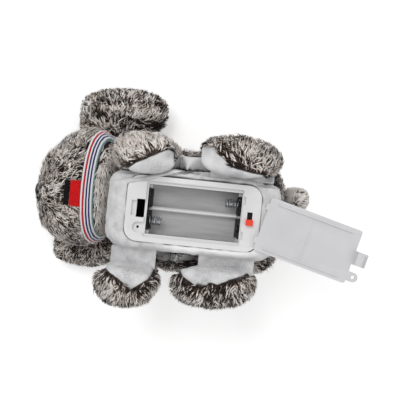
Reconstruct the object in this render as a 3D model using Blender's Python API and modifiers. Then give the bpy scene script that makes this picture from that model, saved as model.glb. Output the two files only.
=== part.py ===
"""An electric walking plush dog, lying on its back with its battery cover taken off.

Metres. +Z is up and out of the belly, the head is towards -X and +Y is the dog's left side.
The origin is on the flat patch of the back that the dog rests on. The parts stay in a
collection named for the object, and what cuts or joins them in another that isn't rendered.
"""

import math

import bmesh
import bpy
from mathutils import Matrix, Vector
from mathutils.bvhtree import BVHTree

# Clearances, walls and fineness
GAP = 0.0003
OVERRUN = 0.001
WELD = 0.000001
WALL = 0.0016
ROUND_SIDES = 24
PIN_SIDES = 12
SMALL_SIDES = 8
CORNER_STEPS = 5

# Levels, from the back up to the belly
BACK_STUFFING = 0.0187
TRAY_HEIGHT = 0.033
HOUSING_HEIGHT = 0.0197
TRAY_BOTTOM = BACK_STUFFING + GAP
TRAY_TOP = TRAY_BOTTOM + TRAY_HEIGHT
SKIRT_BOTTOM = TRAY_TOP + GAP
PLATE_TOP = SKIRT_BOTTOM + HOUSING_HEIGHT

# Battery housing: the plate in the belly, its skirt and the bay for two AA cells
CELL_DIAMETER = 0.0145
CELL_LENGTH = 0.0505
CELL_SIDE_ROOM = 0.0011
CONTACT_ROOM = 0.0061
BAY_DEPTH = 0.015
BAY_HALF_LENGTH = (CELL_LENGTH + CONTACT_ROOM) / 2
BAY_HALF_WIDTH = CELL_DIAMETER + CELL_SIDE_ROOM / 2
DOOR_END_LAP = 0.0007
DOOR_SIDE_LAP = 0.00155
DOOR_LENGTH = 2 * (BAY_HALF_LENGTH + DOOR_END_LAP)
DOOR_WIDTH = 2 * (BAY_HALF_WIDTH + DOOR_SIDE_LAP)
PLATE_END_ROOM = 0.0115
PLATE_SIDE_ROOM = 0.0034
PLATE_LENGTH = DOOR_LENGTH + 2 * PLATE_END_ROOM
PLATE_WIDTH = DOOR_WIDTH + 2 * PLATE_SIDE_ROOM
PLATE_CORNER = 0.008
PLATE_THICKNESS = 0.0036
PLATE_SHIFT = -0.0005
PLATE_FRONT = PLATE_SHIFT - PLATE_LENGTH / 2
PLATE_REAR = PLATE_SHIFT + PLATE_LENGTH / 2
PLATE_UNDER = PLATE_TOP - PLATE_THICKNESS
PLATE_SIDE = PLATE_WIDTH / 2
SEAT_DEPTH = 0.002
BAY_FLOOR = PLATE_TOP - SEAT_DEPTH - BAY_DEPTH
DIVIDER_Y = 0.0008
DIVIDER_WIDTH = 0.0018
DIVIDER_HEIGHT = 0.0045
DIVIDER_END_ROOM = 0.002
DIVIDER_HALF_LENGTH = BAY_HALF_LENGTH - DIVIDER_END_ROOM
RETAINER_LENGTH = 0.0022
RETAINER_WIDTH = 0.0021
RETAINER_DROP = 0.0022
RETAINER_TOP = PLATE_TOP - SEAT_DEPTH - RETAINER_DROP
DOOR_BOSS_RADIUS = 0.003
DOOR_BOSS_LENGTH = 0.0084
DOOR_SCREW_RADIUS = 0.0008
BOARD_PILLAR = 0.003

# Battery cover, with its latch, its screw lug and its two end tabs
DOOR_THICKNESS = 0.0016
DOOR_CORNER = 0.0015
DOOR_SHIFT = -0.0003
DOOR_SINK = 0.0001
DOOR_FRONT = DOOR_SHIFT - DOOR_LENGTH / 2
DOOR_REAR = DOOR_SHIFT + DOOR_LENGTH / 2
DOOR_TOP = PLATE_TOP - DOOR_SINK
DOOR_UNDER = DOOR_TOP - DOOR_THICKNESS
LATCH_WIDTH = 0.011
LATCH_WALL = 0.00145
LATCH_HOLE_LENGTH = 0.0049
LATCH_SPRING = 0.001
LATCH_DEPTH = 0.0052
LATCH_HOLE_REAR = -BAY_HALF_LENGTH - LATCH_WALL
LATCH_HOLE_FRONT = LATCH_HOLE_REAR - LATCH_HOLE_LENGTH
FINGER_WIDTH = 0.0084
FINGER_LENGTH = 0.0028
FINGER_FRONT = LATCH_HOLE_FRONT - FINGER_LENGTH
LUG_ROOM = 0.0046
LUG_X = -BAY_HALF_LENGTH - LUG_ROOM
LUG_Y = -0.0114
LUG_RADIUS = 0.0029
LUG_HOLE = 0.0011
TAB_LENGTH = 0.0014
TAB_WIDTH = 0.004
TAB_THICKNESS = 0.0009
TAB_Y = 0.0105
RAIL_WIDTH = 0.0009
RAIL_HEIGHT = 0.0011
RAIL_INSET = 0.0012
RAIL_Y = BAY_HALF_WIDTH - RAIL_INSET
RAIL_END_ROOM = 0.0048
RAIL_HALF_LENGTH = BAY_HALF_LENGTH - RAIL_END_ROOM

# Where the taken-off cover lies: half a turn about a skewed line puts it back in its seat
DOOR_PIVOT_ROOM = 0.0065
DOOR_PIVOT_X = DOOR_REAR + DOOR_PIVOT_ROOM
DOOR_SKEW = math.radians(7.35)

# Contacts and springs
CONTACT_THICKNESS = 0.0004
CONTACT_HEIGHT = 0.0115
CONTACT_LIFT = 0.0012
CONTACT_INNER = 0.0014
WIRE_RADIUS = 0.00035
SPRING_RADIUS = 0.00295
SPRING_TURNS = 5
SPRING_POINTS = 9
REAR_SPRING_LENGTH = 0.0092
FRONT_SPRING_LENGTH = 0.0082
BUTTON_RADIUS = 0.0026
BUTTON_HEIGHT = 0.0008
LEFT_CELL_Y = 0.0082
RIGHT_CELL_Y = -0.0071

# Slide switch
SWITCH_ROOM = 0.0053
SWITCH_X = BAY_HALF_LENGTH + SWITCH_ROOM
SLOT_WIDTH = 0.0032
SLOT_LENGTH = 0.008
KNOB_WIDTH = 0.0043
KNOB_LENGTH = 0.0037
KNOB_HEIGHT = 0.002
KNOB_TRAVEL = 0.0044
STEM_WIDTH = 0.0024
STEM_LENGTH = 0.0026
STEM_DEPTH = 0.0028
SWITCH_HALF_WIDTH = 0.0033
SWITCH_HALF_LENGTH = 0.006
SWITCH_HEIGHT = 0.0056

# Chassis screws and their bosses, at the corners of the tray
BOSS_X_INSET = 0.0047
BOSS_Y = 0.0142
BOSS_RADIUS = 0.0029
COUNTERBORE_RADIUS = 0.0021
BOSS_CAP = 0.008
COUNTERBORE_TOP = TRAY_TOP - BOSS_CAP
SCREW_HEAD_RADIUS = 0.0018
SCREW_HEAD_HEIGHT = 0.0016
SCREW_RADIUS = 0.001
SCREW_LENGTH = 0.0135

# Motor and gear train, all on one level, with their axes across the dog
MODULE = 0.0006
PINION_TEETH = 8
WHEEL_TEETH = 32
MESH_ROOM = 0.00015
TOOTH_ABOVE_SHARE = 0.9
TOOTH_BELOW_SHARE = 1.15
TOOTH_ROOT_SHARE = 0.56
TOOTH_TIP_SHARE = 0.22
GEAR_FACE = 0.003
GEAR_SPACE = 0.0007
GEAR_BORE = 0.00105
GEAR_PIN = 0.00075
MOTOR_X = -0.025
MOTOR_DIAMETER = 0.020
MOTOR_FLATS = 0.0154
MOTOR_LENGTH = 0.0245
MOTOR_SHAFT = 0.001
MOTOR_BOSS_HOLE = 0.0014
MOTOR_SHAFT_SEAT = 0.004
CRADLE_RIB = 0.002
GEAR_CENTRES = MODULE * (PINION_TEETH + WHEEL_TEETH) / 2 + MESH_ROOM
FIRST_X = MOTOR_X + GEAR_CENTRES
SECOND_X = FIRST_X + GEAR_CENTRES
CRANK_X = SECOND_X + GEAR_CENTRES
TRAY_INSIDE = PLATE_SIDE - WALL
OUTER_PLANE = TRAY_INSIDE - GAP - GEAR_FACE
MIDDLE_PLANE = OUTER_PLANE - GEAR_SPACE - GEAR_FACE
INNER_PLANE = MIDDLE_PLANE - GEAR_SPACE - GEAR_FACE
PARTITION_FACE = INNER_PLANE - GAP
PARTITION_HEIGHT = 0.022

# Cranks, side links and rockers, outside the walls of the tray
HIP_HEIGHT = 0.025
HIP_Z = TRAY_BOTTOM + HIP_HEIGHT
HIP_Y = 0.034
FRONT_HIP_X = -0.0315
REAR_HIP_X = 0.030
LEVER_LENGTH = 0.012
DRIVE_Z = HIP_Z - LEVER_LENGTH
REST_SWING = math.radians(5)
MOST_SWING = math.radians(12)
FRONT_LEFT_SPLAY = math.radians(-3)
REAR_LEFT_SPLAY = math.radians(2)
FRONT_RIGHT_SPLAY = math.radians(22)
REAR_RIGHT_SPLAY = math.radians(14)
LEAST_SPLAY = math.radians(-8)
MOST_SPLAY = math.radians(32)
SIDE_PLATE = 0.0016
SIDE_RUN = 0.0004
AXLE_RADIUS = 0.00125
STUB_RADIUS = 0.0015
LINK_PIN_RADIUS = 0.0012
LINK_PIN_PROUD = 0.0003
CRANK_RIM = 0.0012
CRANK_THROW = LEVER_LENGTH * math.sin(MOST_SWING)
CRANK_DISC_RADIUS = CRANK_THROW + LINK_PIN_RADIUS + CRANK_RIM
ROCKER_RADIUS = 0.003
NECK_RADIUS = 0.002
BALL_RADIUS = 0.004
LINK_HALF_HEIGHT = 0.0026
LINK_RIM = 0.0018
ROCKER_IN = PLATE_SIDE + SIDE_RUN
ROCKER_OUT = ROCKER_IN + SIDE_PLATE
LINK_IN = ROCKER_OUT + SIDE_RUN
LINK_OUT = LINK_IN + SIDE_PLATE
LINK_PIN_END = LINK_OUT + LINK_PIN_PROUD

# Circuit board and speaker
BOARD_THICKNESS = 0.0012
BOARD_DROP = 0.0062
BOARD_FRONT = -0.012
BOARD_REAR = 0.021
BOARD_HALF_WIDTH = 0.0145
CHIP_HALF = 0.003
CHIP_HEIGHT = 0.0014
SPEAKER_RADIUS = 0.0105
SPEAKER_RIM = 0.0018
SPEAKER_MAGNET_RADIUS = 0.006
SPEAKER_DEPTH = 0.0052
SPEAKER_HOLE = 0.001
SPEAKER_HOLES = 6
SPEAKER_HOLE_RING = 0.0055

# Tail, on a rod that swings on an upright pin behind the tray
TAIL_PIVOT_OUT = 0.0035
TAIL_PIVOT_DROP = 0.00925
TAIL_PIVOT_Z = TRAY_TOP - TAIL_PIVOT_DROP
TAIL_EYE_RADIUS = 0.0022
TAIL_EYE_HALF = 0.0019
TAIL_PIN_RADIUS = 0.0012
TAIL_LUG = 0.002
TAIL_LUG_HALF_WIDTH = 0.003
TAIL_ROD_RADIUS = 0.0015
TAIL_ROD_LENGTH = 0.0225
TAIL_REST = math.radians(37)
TAIL_LOW = Vector((0.0562, 0.0065, 0.013))
TAIL_HIGH = Vector((0.0702, 0.0222, 0.0565))
TAIL_SIDES = 10
TAIL_RING_SHARES = (
    (0.00, 0.42, 0.30, 0.10),
    (0.10, 0.74, 0.20, 0.06),
    (0.35, 0.98, 0.05, 0.00),
    (0.65, 1.00, 0.00, 0.00),
    (0.90, 0.78, -0.20, -0.10),
    (1.00, 0.46, -0.30, -0.16),
)
TAIL_SLOT_HALF_HEIGHT = 0.0023
TAIL_SLOT_RIGHT = 0.0075
TAIL_SLOT_LEFT = 0.0135

# Body: box of the stuffed form, and its rings from neck to rump
BODY_FRONT = -0.052
BODY_REAR = 0.056
BODY_HALF_WIDTH = 0.0385
BODY_TOP = 0.069
REST_CUT = 0.0005
SOFT_SIDES = 16
SQUARENESS_SHARE = 0.77
BODY_RING_SHARES = (
    (0.00, 0.42, 0.32, 0.72),
    (0.04, 0.72, 0.18, 0.86),
    (0.14, 0.93, 0.05, 0.97),
    (0.32, 1.00, 0.00, 1.00),
    (0.56, 1.00, 0.00, 1.00),
    (0.80, 0.98, 0.00, 1.00),
    (0.93, 0.88, 0.06, 0.95),
    (0.985, 0.64, 0.18, 0.82),
    (1.00, 0.40, 0.30, 0.70),
)
CAVITY_ROOM = 0.0008
CAVITY_FRONT_ROOM = 0.0028
CAVITY_REAR_ROOM = 0.0028
CAVITY_SIDE = LINK_PIN_END + CAVITY_ROOM
WELL_DROP = 0.0095
WELL_FOOT_SHARE = 0.76
WELL_ABOVE = 0.004
WELL_RISE = PLATE_TOP - HIP_Z + WELL_ABOVE
WELL_ROOM = 0.0045

# Belly panel: the white cloth ring, drawn over the rim round the plate
PANEL_END_ROOM = 0.012
PANEL_SIDE_ROOM = 0.0049
PANEL_FRONT = PLATE_FRONT - PANEL_END_ROOM
PANEL_REAR = PLATE_REAR + PANEL_END_ROOM
PANEL_SIDE = PLATE_SIDE + PANEL_SIDE_ROOM
PANEL_LEDGE = 0.004
PANEL_LEDGE_WIDTH = 0.0016
PANEL_DIP = 0.0012
PANEL_DIP_SIDE = 0.013
PANEL_CORNER = 0.012
PANEL_DEPTH = 0.010
PANEL_EDGE_DROP = 0.0055
PANEL_LIP_RISE = 0.0005
PANEL_RIM_RISE = 0.0013
PANEL_CREST_DROP = 0.0002
PANEL_BOTTOM = PLATE_TOP - PANEL_DEPTH
PANEL_EDGE = PLATE_TOP - PANEL_EDGE_DROP
PANEL_LIP = PLATE_TOP + PANEL_LIP_RISE
PANEL_RIM = PLATE_TOP + PANEL_RIM_RISE
PANEL_CREST = PLATE_TOP - PANEL_CREST_DROP
PANEL_RIM_SHARE = 0.3
PANEL_CREST_SHARE = 0.72

# Head: stuffed form with a muzzle, and what is on it
HEAD_LOW = Vector((-0.1012, -0.028, 0.002))
HEAD_HIGH = Vector((-0.0535, 0.0475, 0.060))
HEAD_RING_SHARES = (
    (0.00, -0.14, 0.30, 0.34),
    (0.05, -0.13, 0.54, 0.58),
    (0.20, -0.10, 0.76, 0.84),
    (0.42, -0.05, 0.94, 0.98),
    (0.62, 0.00, 1.00, 1.00),
    (0.82, 0.00, 0.95, 0.96),
    (0.96, 0.00, 0.80, 0.82),
    (1.00, 0.00, 0.58, 0.60),
)
FACE_Y = 0.0047
MUZZLE_CENTRE = Vector((-0.0865, FACE_Y, 0.0435))
MUZZLE_HALF = Vector((0.0145, 0.0175, 0.0165))
MUZZLE_SEGMENTS = 20
MUZZLE_RINGS = 12
NOSE_Z = 0.0405
NOSE_SINK = 0.0020
NOSE_HALF = Vector((0.004, 0.0058, 0.0042))
EYE_Z = 0.0195
EYE_SINK = 0.0022
EYE_SPREAD = 0.0125
EYE_RADIUS = 0.0042
MOUTH_X = -0.0794
MOUTH_HALF = Vector((0.0017, 0.0078, 0.012))
MOUTH_THICKNESS = 0.0006
TONGUE_X = -0.0723
TONGUE_HALF = Vector((0.005, 0.008, 0.012))
TONGUE_THICKNESS = 0.0012
PATCH_LEVEL = 0.058
COLLAR_CENTRE = Vector((-0.056, 0.0076, 0.0305))
COLLAR_TILT = math.radians(20)
COLLAR_YAW = math.radians(0)
COLLAR_WIDTH = 0.0066
COLLAR_THICKNESS = 0.0009
COLLAR_REACH = 0.050
NECK_ROD_RADIUS = 0.004
NECK_ROD_END = -0.075
NECK_FLANGE_RADIUS = 0.009
NECK_FLANGE = 0.002
NECK_HEIGHT = 0.019
NECK_Z = TRAY_BOTTOM + NECK_HEIGHT

# Ears: flat lobes that lie out beside the head
LEFT_EAR_LOW = Vector((-0.082, 0.0425, 0.0085))
LEFT_EAR_HIGH = Vector((-0.026, 0.0765, 0.0215))
LEFT_EAR_SHARES = (
    (0.00, 0.42, 0.52, 0.45),
    (0.08, 0.44, 0.76, 0.80),
    (0.25, 0.47, 0.94, 1.00),
    (0.55, 0.54, 0.90, 1.00),
    (0.80, 0.58, 0.80, 0.85),
    (0.95, 0.58, 0.58, 0.60),
    (1.00, 0.58, 0.34, 0.40),
)
RIGHT_EAR_LOW = Vector((-0.091, -0.0425, 0.0055))
RIGHT_EAR_HIGH = Vector((-0.0515, -0.0205, 0.0165))
RIGHT_EAR_SHARES = (
    (0.00, 0.50, 0.52, 0.45),
    (0.10, 0.49, 0.80, 0.80),
    (0.40, 0.46, 0.96, 1.00),
    (0.72, 0.44, 0.90, 0.95),
    (0.93, 0.46, 0.62, 0.65),
    (1.00, 0.46, 0.36, 0.40),
)
EAR_SIDES = 10

# Legs: shanks that swell to a paw, with a socket for the ball of the rocker
LEG_LENGTH = 0.042
LEG_ROOT_SHARE = 0.15
LEG_HALF_THICKNESS = 0.012
FRONT_LEG_HALF_WIDTH = 0.0195
REAR_LEG_HALF_WIDTH = 0.0255
FRONT_LEG_SHIFT = -0.0025
REAR_LEFT_LEG_SHIFT = -0.008
REAR_RIGHT_LEG_SHIFT = -0.0115
LEG_SIDES = 12
LEG_RING_SHARES = (
    (-0.15, 0.34, 0.40),
    (-0.06, 0.52, 0.62),
    (0.12, 0.64, 0.68),
    (0.40, 0.88, 0.68),
    (0.62, 1.00, 0.66),
    (0.83, 0.97, 1.00),
    (0.94, 0.74, 0.88),
    (1.00, 0.40, 0.48),
)
SOCKET_REACH = 0.014
NECK_ROOM = 0.0004

# Leads inside the chassis
LEAD_RADIUS = 0.0005
LEAD_START = 0.0024
LEAD_SMOOTHING = 2

PARTS_NAME = "walking_plush_dog"
CUTTERS_NAME = "cutters"
BLANK = Matrix.Identity(4)

PLASTIC = ((0.86, 0.85, 0.84), 0.42, 0.0)
TRAY_PLASTIC = ((0.80, 0.79, 0.76), 0.50, 0.0)
COVER_PLASTIC = ((0.82, 0.83, 0.85), 0.35, 0.0)
NATURAL_NYLON = ((0.88, 0.86, 0.80), 0.45, 0.0)
STEEL = ((0.62, 0.62, 0.64), 0.30, 1.0)
NICKEL = ((0.72, 0.72, 0.74), 0.25, 1.0)
BRASS = ((0.72, 0.55, 0.25), 0.32, 1.0)
BLACK_PLASTIC = ((0.03, 0.03, 0.03), 0.35, 0.0)
BOARD_GREEN = ((0.10, 0.32, 0.16), 0.45, 0.0)
KNOB_RED = ((0.85, 0.12, 0.05), 0.40, 0.0)
FUR = ((0.36, 0.32, 0.29), 0.95, 0.0)
PALE_FUR = ((0.55, 0.51, 0.48), 0.95, 0.0)
WHITE_PLUSH = ((0.84, 0.84, 0.85), 0.95, 0.0)
RED_FELT = ((0.72, 0.02, 0.03), 0.95, 0.0)
BLACK_FELT = ((0.02, 0.02, 0.02), 0.95, 0.0)
RIBBON = ((0.75, 0.10, 0.15), 0.60, 0.0)
RED_LEAD = ((0.65, 0.03, 0.03), 0.50, 0.0)
BLACK_LEAD = ((0.03, 0.03, 0.03), 0.50, 0.0)


def clear_scene():
    for obj in list(bpy.data.objects):
        bpy.data.objects.remove(obj, do_unlink=True)


def new_collection(name):
    collection = bpy.data.collections.new(name)
    bpy.context.scene.collection.children.link(collection)
    return collection


def painted(name, finish):
    colour, roughness, metallic = finish
    material = bpy.data.materials.new(name)
    material.use_nodes = True
    shader = material.node_tree.nodes["Principled BSDF"]
    shader.inputs["Base Color"].default_value = (*colour, 1)
    shader.inputs["Roughness"].default_value = roughness
    shader.inputs["Metallic"].default_value = metallic
    material.diffuse_color = (*colour, 1)
    return material


def pivot(name, place, rotation=(0, 0, 0), parent=None):
    """An empty on a joint's axis, which its pieces hang from."""
    empty = bpy.data.objects.new(name, None)
    bpy.data.collections[PARTS_NAME].objects.link(empty)
    empty.location = place
    empty.rotation_euler = rotation
    empty.parent = parent
    return empty


def part(name, mesh, finish, parent=None, place=(0, 0, 0), round_piece=False):
    """One named piece of the object, with its own material."""
    obj = bpy.data.objects.new(name, mesh)
    mesh.name = name
    mesh.materials.clear()
    mesh.materials.append(painted(name, finish))
    bpy.data.collections[PARTS_NAME].objects.link(obj)
    obj.parent = parent
    obj.location = place
    if round_piece:
        mesh.shade_smooth()
        mesh.set_sharp_from_angle(angle=math.radians(35))
    return obj


def combine(obj, meshes, operation):
    """A live Boolean for each mesh, in the frame of the piece it changes."""
    for mesh in meshes:
        number = len(obj.modifiers) + 1
        tool = bpy.data.objects.new(f"{obj.name}_{operation.lower()}_{number}", mesh)
        bpy.data.collections[CUTTERS_NAME].objects.link(tool)
        tool.hide_render = True
        tool.display_type = "WIRE"
        tool.parent = obj.parent
        tool.location = obj.location
        modifier = obj.modifiers.new(tool.name, "BOOLEAN")
        modifier.operation = operation
        modifier.solver = "EXACT"
        modifier.object = tool


def cut(obj, *meshes):
    combine(obj, meshes, "DIFFERENCE")


def join(obj, *meshes):
    combine(obj, meshes, "UNION")


def tidy_mesh(mesh, matrix=BLANK):
    """The mesh with its seams welded, its faces outwards, and moved by the matrix."""
    work = bmesh.new()
    work.from_mesh(mesh)
    bmesh.ops.remove_doubles(work, verts=work.verts, dist=WELD)
    bmesh.ops.transform(work, matrix=matrix, verts=work.verts)
    bmesh.ops.recalc_face_normals(work, faces=work.faces)
    work.to_mesh(mesh)
    work.free()
    return mesh


def baked(data, modifiers=()):
    """The mesh that a curve or a mesh with modifiers evaluates to."""
    obj = bpy.data.objects.new("bake", data)
    bpy.context.scene.collection.objects.link(obj)
    for kind, settings in modifiers:
        modifier = obj.modifiers.new(kind, kind)
        for key, value in settings.items():
            setattr(modifier, key, value)
    graph = bpy.context.evaluated_depsgraph_get()
    mesh = bpy.data.meshes.new_from_object(obj.evaluated_get(graph))
    bpy.data.objects.remove(obj)
    return mesh


def many(meshes):
    """Several shapes that don't touch, as one mesh."""
    work = bmesh.new()
    for mesh in meshes:
        work.from_mesh(mesh)
    whole = bpy.data.meshes.new("group")
    work.to_mesh(whole)
    work.free()
    return whole


def block(low, high):
    low, high = Vector(low), Vector(high)
    work = bmesh.new()
    bmesh.ops.create_cube(work, size=1)
    size = Matrix.Diagonal((*(high - low), 1))
    bmesh.ops.transform(work, matrix=Matrix.Translation((low + high) / 2) @ size, verts=work.verts)
    mesh = bpy.data.meshes.new("block")
    work.to_mesh(mesh)
    work.free()
    return mesh


def rod(radius, start, end, sides=PIN_SIDES):
    """A cylinder between two points."""
    start, end = Vector(start), Vector(end)
    turn = (end - start).to_track_quat("Z", "Y").to_matrix().to_4x4()
    work = bmesh.new()
    bmesh.ops.create_cone(
        work,
        cap_ends=True,
        segments=sides,
        radius1=radius,
        radius2=radius,
        depth=(end - start).length,
        matrix=Matrix.Translation((start + end) / 2) @ turn,
    )
    mesh = bpy.data.meshes.new("rod")
    work.to_mesh(mesh)
    work.free()
    return mesh


def ball(centre, half, segments=16, rings=10):
    work = bmesh.new()
    matrix = Matrix.Translation(centre) @ Matrix.Diagonal((*half, 1))
    bmesh.ops.create_uvsphere(work, u_segments=segments, v_segments=rings, radius=1, matrix=matrix)
    mesh = bpy.data.meshes.new("ball")
    work.to_mesh(mesh)
    work.free()
    return mesh


def circle(x, y, radius, sides=PIN_SIDES):
    turns = [math.tau * i / sides for i in range(sides)]
    return [(x + radius * math.cos(turn), y + radius * math.sin(turn)) for turn in turns]


def rounded(low_x, low_y, high_x, high_y, radius, steps=CORNER_STEPS):
    """A rectangle's outline with round corners."""
    corners = (
        (high_x - radius, high_y - radius, 0),
        (low_x + radius, high_y - radius, 1),
        (low_x + radius, low_y + radius, 2),
        (high_x - radius, low_y + radius, 3),
    )
    outline = []
    for x, y, quarter in corners:
        for step in range(steps + 1):
            turn = math.pi / 2 * (quarter + step / steps)
            outline.append((x + radius * math.cos(turn), y + radius * math.sin(turn)))
    return outline


FLAT_FRAMES = {
    "X": Matrix(((0, 0, 1, 0), (1, 0, 0, 0), (0, 1, 0, 0), (0, 0, 0, 1))),
    "Y": Matrix(((1, 0, 0, 0), (0, 0, -1, 0), (0, 1, 0, 0), (0, 0, 0, 1))),
    "Z": BLANK,
}


def slab(outlines, low, high, axis="Z"):
    """Flat outlines, the later ones as holes, given thickness from low to high along an axis."""
    curve = bpy.data.curves.new("slab", "CURVE")
    curve.dimensions = "2D"
    curve.fill_mode = "BOTH"
    curve.extrude = (high - low) / 2
    for outline in outlines:
        spline = curve.splines.new("POLY")
        spline.points.add(len(outline) - 1)
        for point, (x, y) in zip(spline.points, outline):
            point.co = (x, y, 0, 1)
        spline.use_cyclic_u = True
    mesh = baked(curve)
    bpy.data.curves.remove(curve)
    middle = (low + high) / 2
    height = -middle if axis == "Y" else middle
    return tidy_mesh(mesh, FLAT_FRAMES[axis] @ Matrix.Translation((0, 0, height)))


def turned(profile, place=(0, 0, 0), direction=(0, 0, 1), sides=ROUND_SIDES):
    """A profile of radius and height, from the axis round to the axis, turned about a direction."""
    mesh = bpy.data.meshes.new("profile")
    points = [(radius, 0, height) for radius, height in profile]
    mesh.from_pydata(points, [(i, i + 1) for i in range(len(points) - 1)], [])
    screw = {
        "steps": sides,
        "render_steps": sides,
        "use_merge_vertices": True,
        "merge_threshold": WELD,
    }
    mesh = baked(mesh, [("SCREW", screw)])
    turn = Vector(direction).to_track_quat("Z", "Y").to_matrix().to_4x4()
    return tidy_mesh(mesh, Matrix.Translation(place) @ turn)


def smooth_route(points, steps):
    """Points of a smooth curve through the given ones."""
    ends = [points[0], *points, points[-1]]
    route = []
    for i in range(len(points) - 1):
        a, b, c, d = (Vector(p) for p in ends[i : i + 4])
        for step in range(steps):
            t = step / steps
            bend = (2 * a - 5 * b + 4 * c - d) * t * t + (3 * b - a - 3 * c + d) * t**3
            route.append(b + ((c - a) * t + bend) / 2)
    return [*route, Vector(points[-1])]


def tube(points, radius, resolution):
    curve = bpy.data.curves.new("tube", "CURVE")
    curve.dimensions = "3D"
    curve.bevel_depth = radius
    curve.bevel_resolution = resolution
    curve.use_fill_caps = True
    spline = curve.splines.new("POLY")
    spline.points.add(len(points) - 1)
    for point, place in zip(spline.points, points):
        point.co = (*place, 1)
    mesh = baked(curve)
    bpy.data.curves.remove(curve)
    return tidy_mesh(mesh)


def superellipse(sides):
    """Points round a soft, slightly square ring of half width and half height 1."""
    ring = []
    for i in range(sides):
        turn = math.tau * i / sides
        across, up = math.cos(turn), math.sin(turn)
        ring.append(
            (
                math.copysign(abs(across) ** SQUARENESS_SHARE, across),
                math.copysign(abs(up) ** SQUARENESS_SHARE, up),
            )
        )
    return ring


def fitted(mesh, low, high):
    """The mesh stretched to fill the box from low to high exactly."""
    lows = [min(vertex.co[i] for vertex in mesh.vertices) for i in range(3)]
    highs = [max(vertex.co[i] for vertex in mesh.vertices) for i in range(3)]
    for vertex in mesh.vertices:
        for i in range(3):
            share = (vertex.co[i] - lows[i]) / (highs[i] - lows[i])
            vertex.co[i] = low[i] + share * (high[i] - low[i])
    return mesh


def soft_form(rings, low, high):
    """A stuffed form: a cage lofted through rings, subdivided, and fitted to its box."""
    work = bmesh.new()
    rows = [[work.verts.new(place) for place in ring] for ring in rings]
    sides = len(rows[0])
    for before, after in zip(rows, rows[1:]):
        for i in range(sides):
            j = (i + 1) % sides
            work.faces.new((before[i], before[j], after[j], after[i]))
    work.faces.new(rows[0])
    work.faces.new(rows[-1])
    bmesh.ops.recalc_face_normals(work, faces=work.faces)
    cage = bpy.data.meshes.new("cage")
    work.to_mesh(cage)
    work.free()
    mesh = baked(cage, [("SUBSURF", {"levels": 1, "render_levels": 1})])
    return tidy_mesh(fitted(mesh, low, high))


def swollen(mesh, distance):
    """A copy of the mesh with every point moved out by a distance."""
    copy = mesh.copy()
    return tidy_mesh(baked(copy, [("DISPLACE", {"strength": distance, "mid_level": 0})]))


def booled(mesh, other, operation):
    """The result of one Boolean, as a plain mesh."""
    tool = bpy.data.objects.new("tool", other)
    bpy.context.scene.collection.objects.link(tool)
    result = baked(mesh, [("BOOLEAN", {"operation": operation, "solver": "EXACT", "object": tool})])
    bpy.data.objects.remove(tool)
    return result


def gear_outline(teeth, phase):
    """A spur gear's outline: straight-sided teeth, thin enough to leave some backlash."""
    pitch_radius = MODULE * teeth / 2
    tip = pitch_radius + TOOTH_ABOVE_SHARE * MODULE
    root = pitch_radius - TOOTH_BELOW_SHARE * MODULE
    half_pitch = math.pi / teeth
    corners = (
        (root, -TOOTH_ROOT_SHARE),
        (tip, -TOOTH_TIP_SHARE),
        (tip, TOOTH_TIP_SHARE),
        (root, TOOTH_ROOT_SHARE),
    )
    outline = []
    for tooth in range(teeth):
        middle = phase + math.tau * tooth / teeth
        for radius, share in corners:
            turn = middle + share * half_pitch
            outline.append((radius * math.cos(turn), radius * math.sin(turn)))
    return outline


def pinion(low, high):
    return slab([gear_outline(PINION_TEETH, 0)], low, high, "Y")


def wheel(low, high, holes=()):
    """A wheel whose tooth space faces the pinion on its -X side."""
    return slab([gear_outline(WHEEL_TEETH, math.pi / WHEEL_TEETH), *holes], low, high, "Y")


def boss_places():
    for x in (PLATE_FRONT + BOSS_X_INSET, PLATE_REAR - BOSS_X_INSET):
        for side in (-1, 1):
            yield x, side * BOSS_Y


def hips():
    """Each leg's name, hip, side, rest splay, half width and shift."""
    front = (FRONT_HIP_X, FRONT_LEG_HALF_WIDTH)
    rear = (REAR_HIP_X, REAR_LEG_HALF_WIDTH)
    for name, side, splay, (x, half_width), shift in (
        ("front_left", 1, FRONT_LEFT_SPLAY, front, FRONT_LEG_SHIFT),
        ("rear_left", 1, REAR_LEFT_SPLAY, rear, REAR_LEFT_LEG_SHIFT),
        ("front_right", -1, FRONT_RIGHT_SPLAY, front, FRONT_LEG_SHIFT),
        ("rear_right", -1, REAR_RIGHT_SPLAY, rear, REAR_RIGHT_LEG_SHIFT),
    ):
        yield name, x, side, splay, half_width, shift


def plate_outline(inset=0.0):
    return rounded(
        PLATE_FRONT + inset,
        -PLATE_SIDE + inset,
        PLATE_REAR - inset,
        PLATE_SIDE - inset,
        PLATE_CORNER - inset,
    )


def both_sides(side, near, far):
    """A span given as distances from the middle, put on one side of the dog, low end first."""
    return sorted((side * near, side * far))


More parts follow.
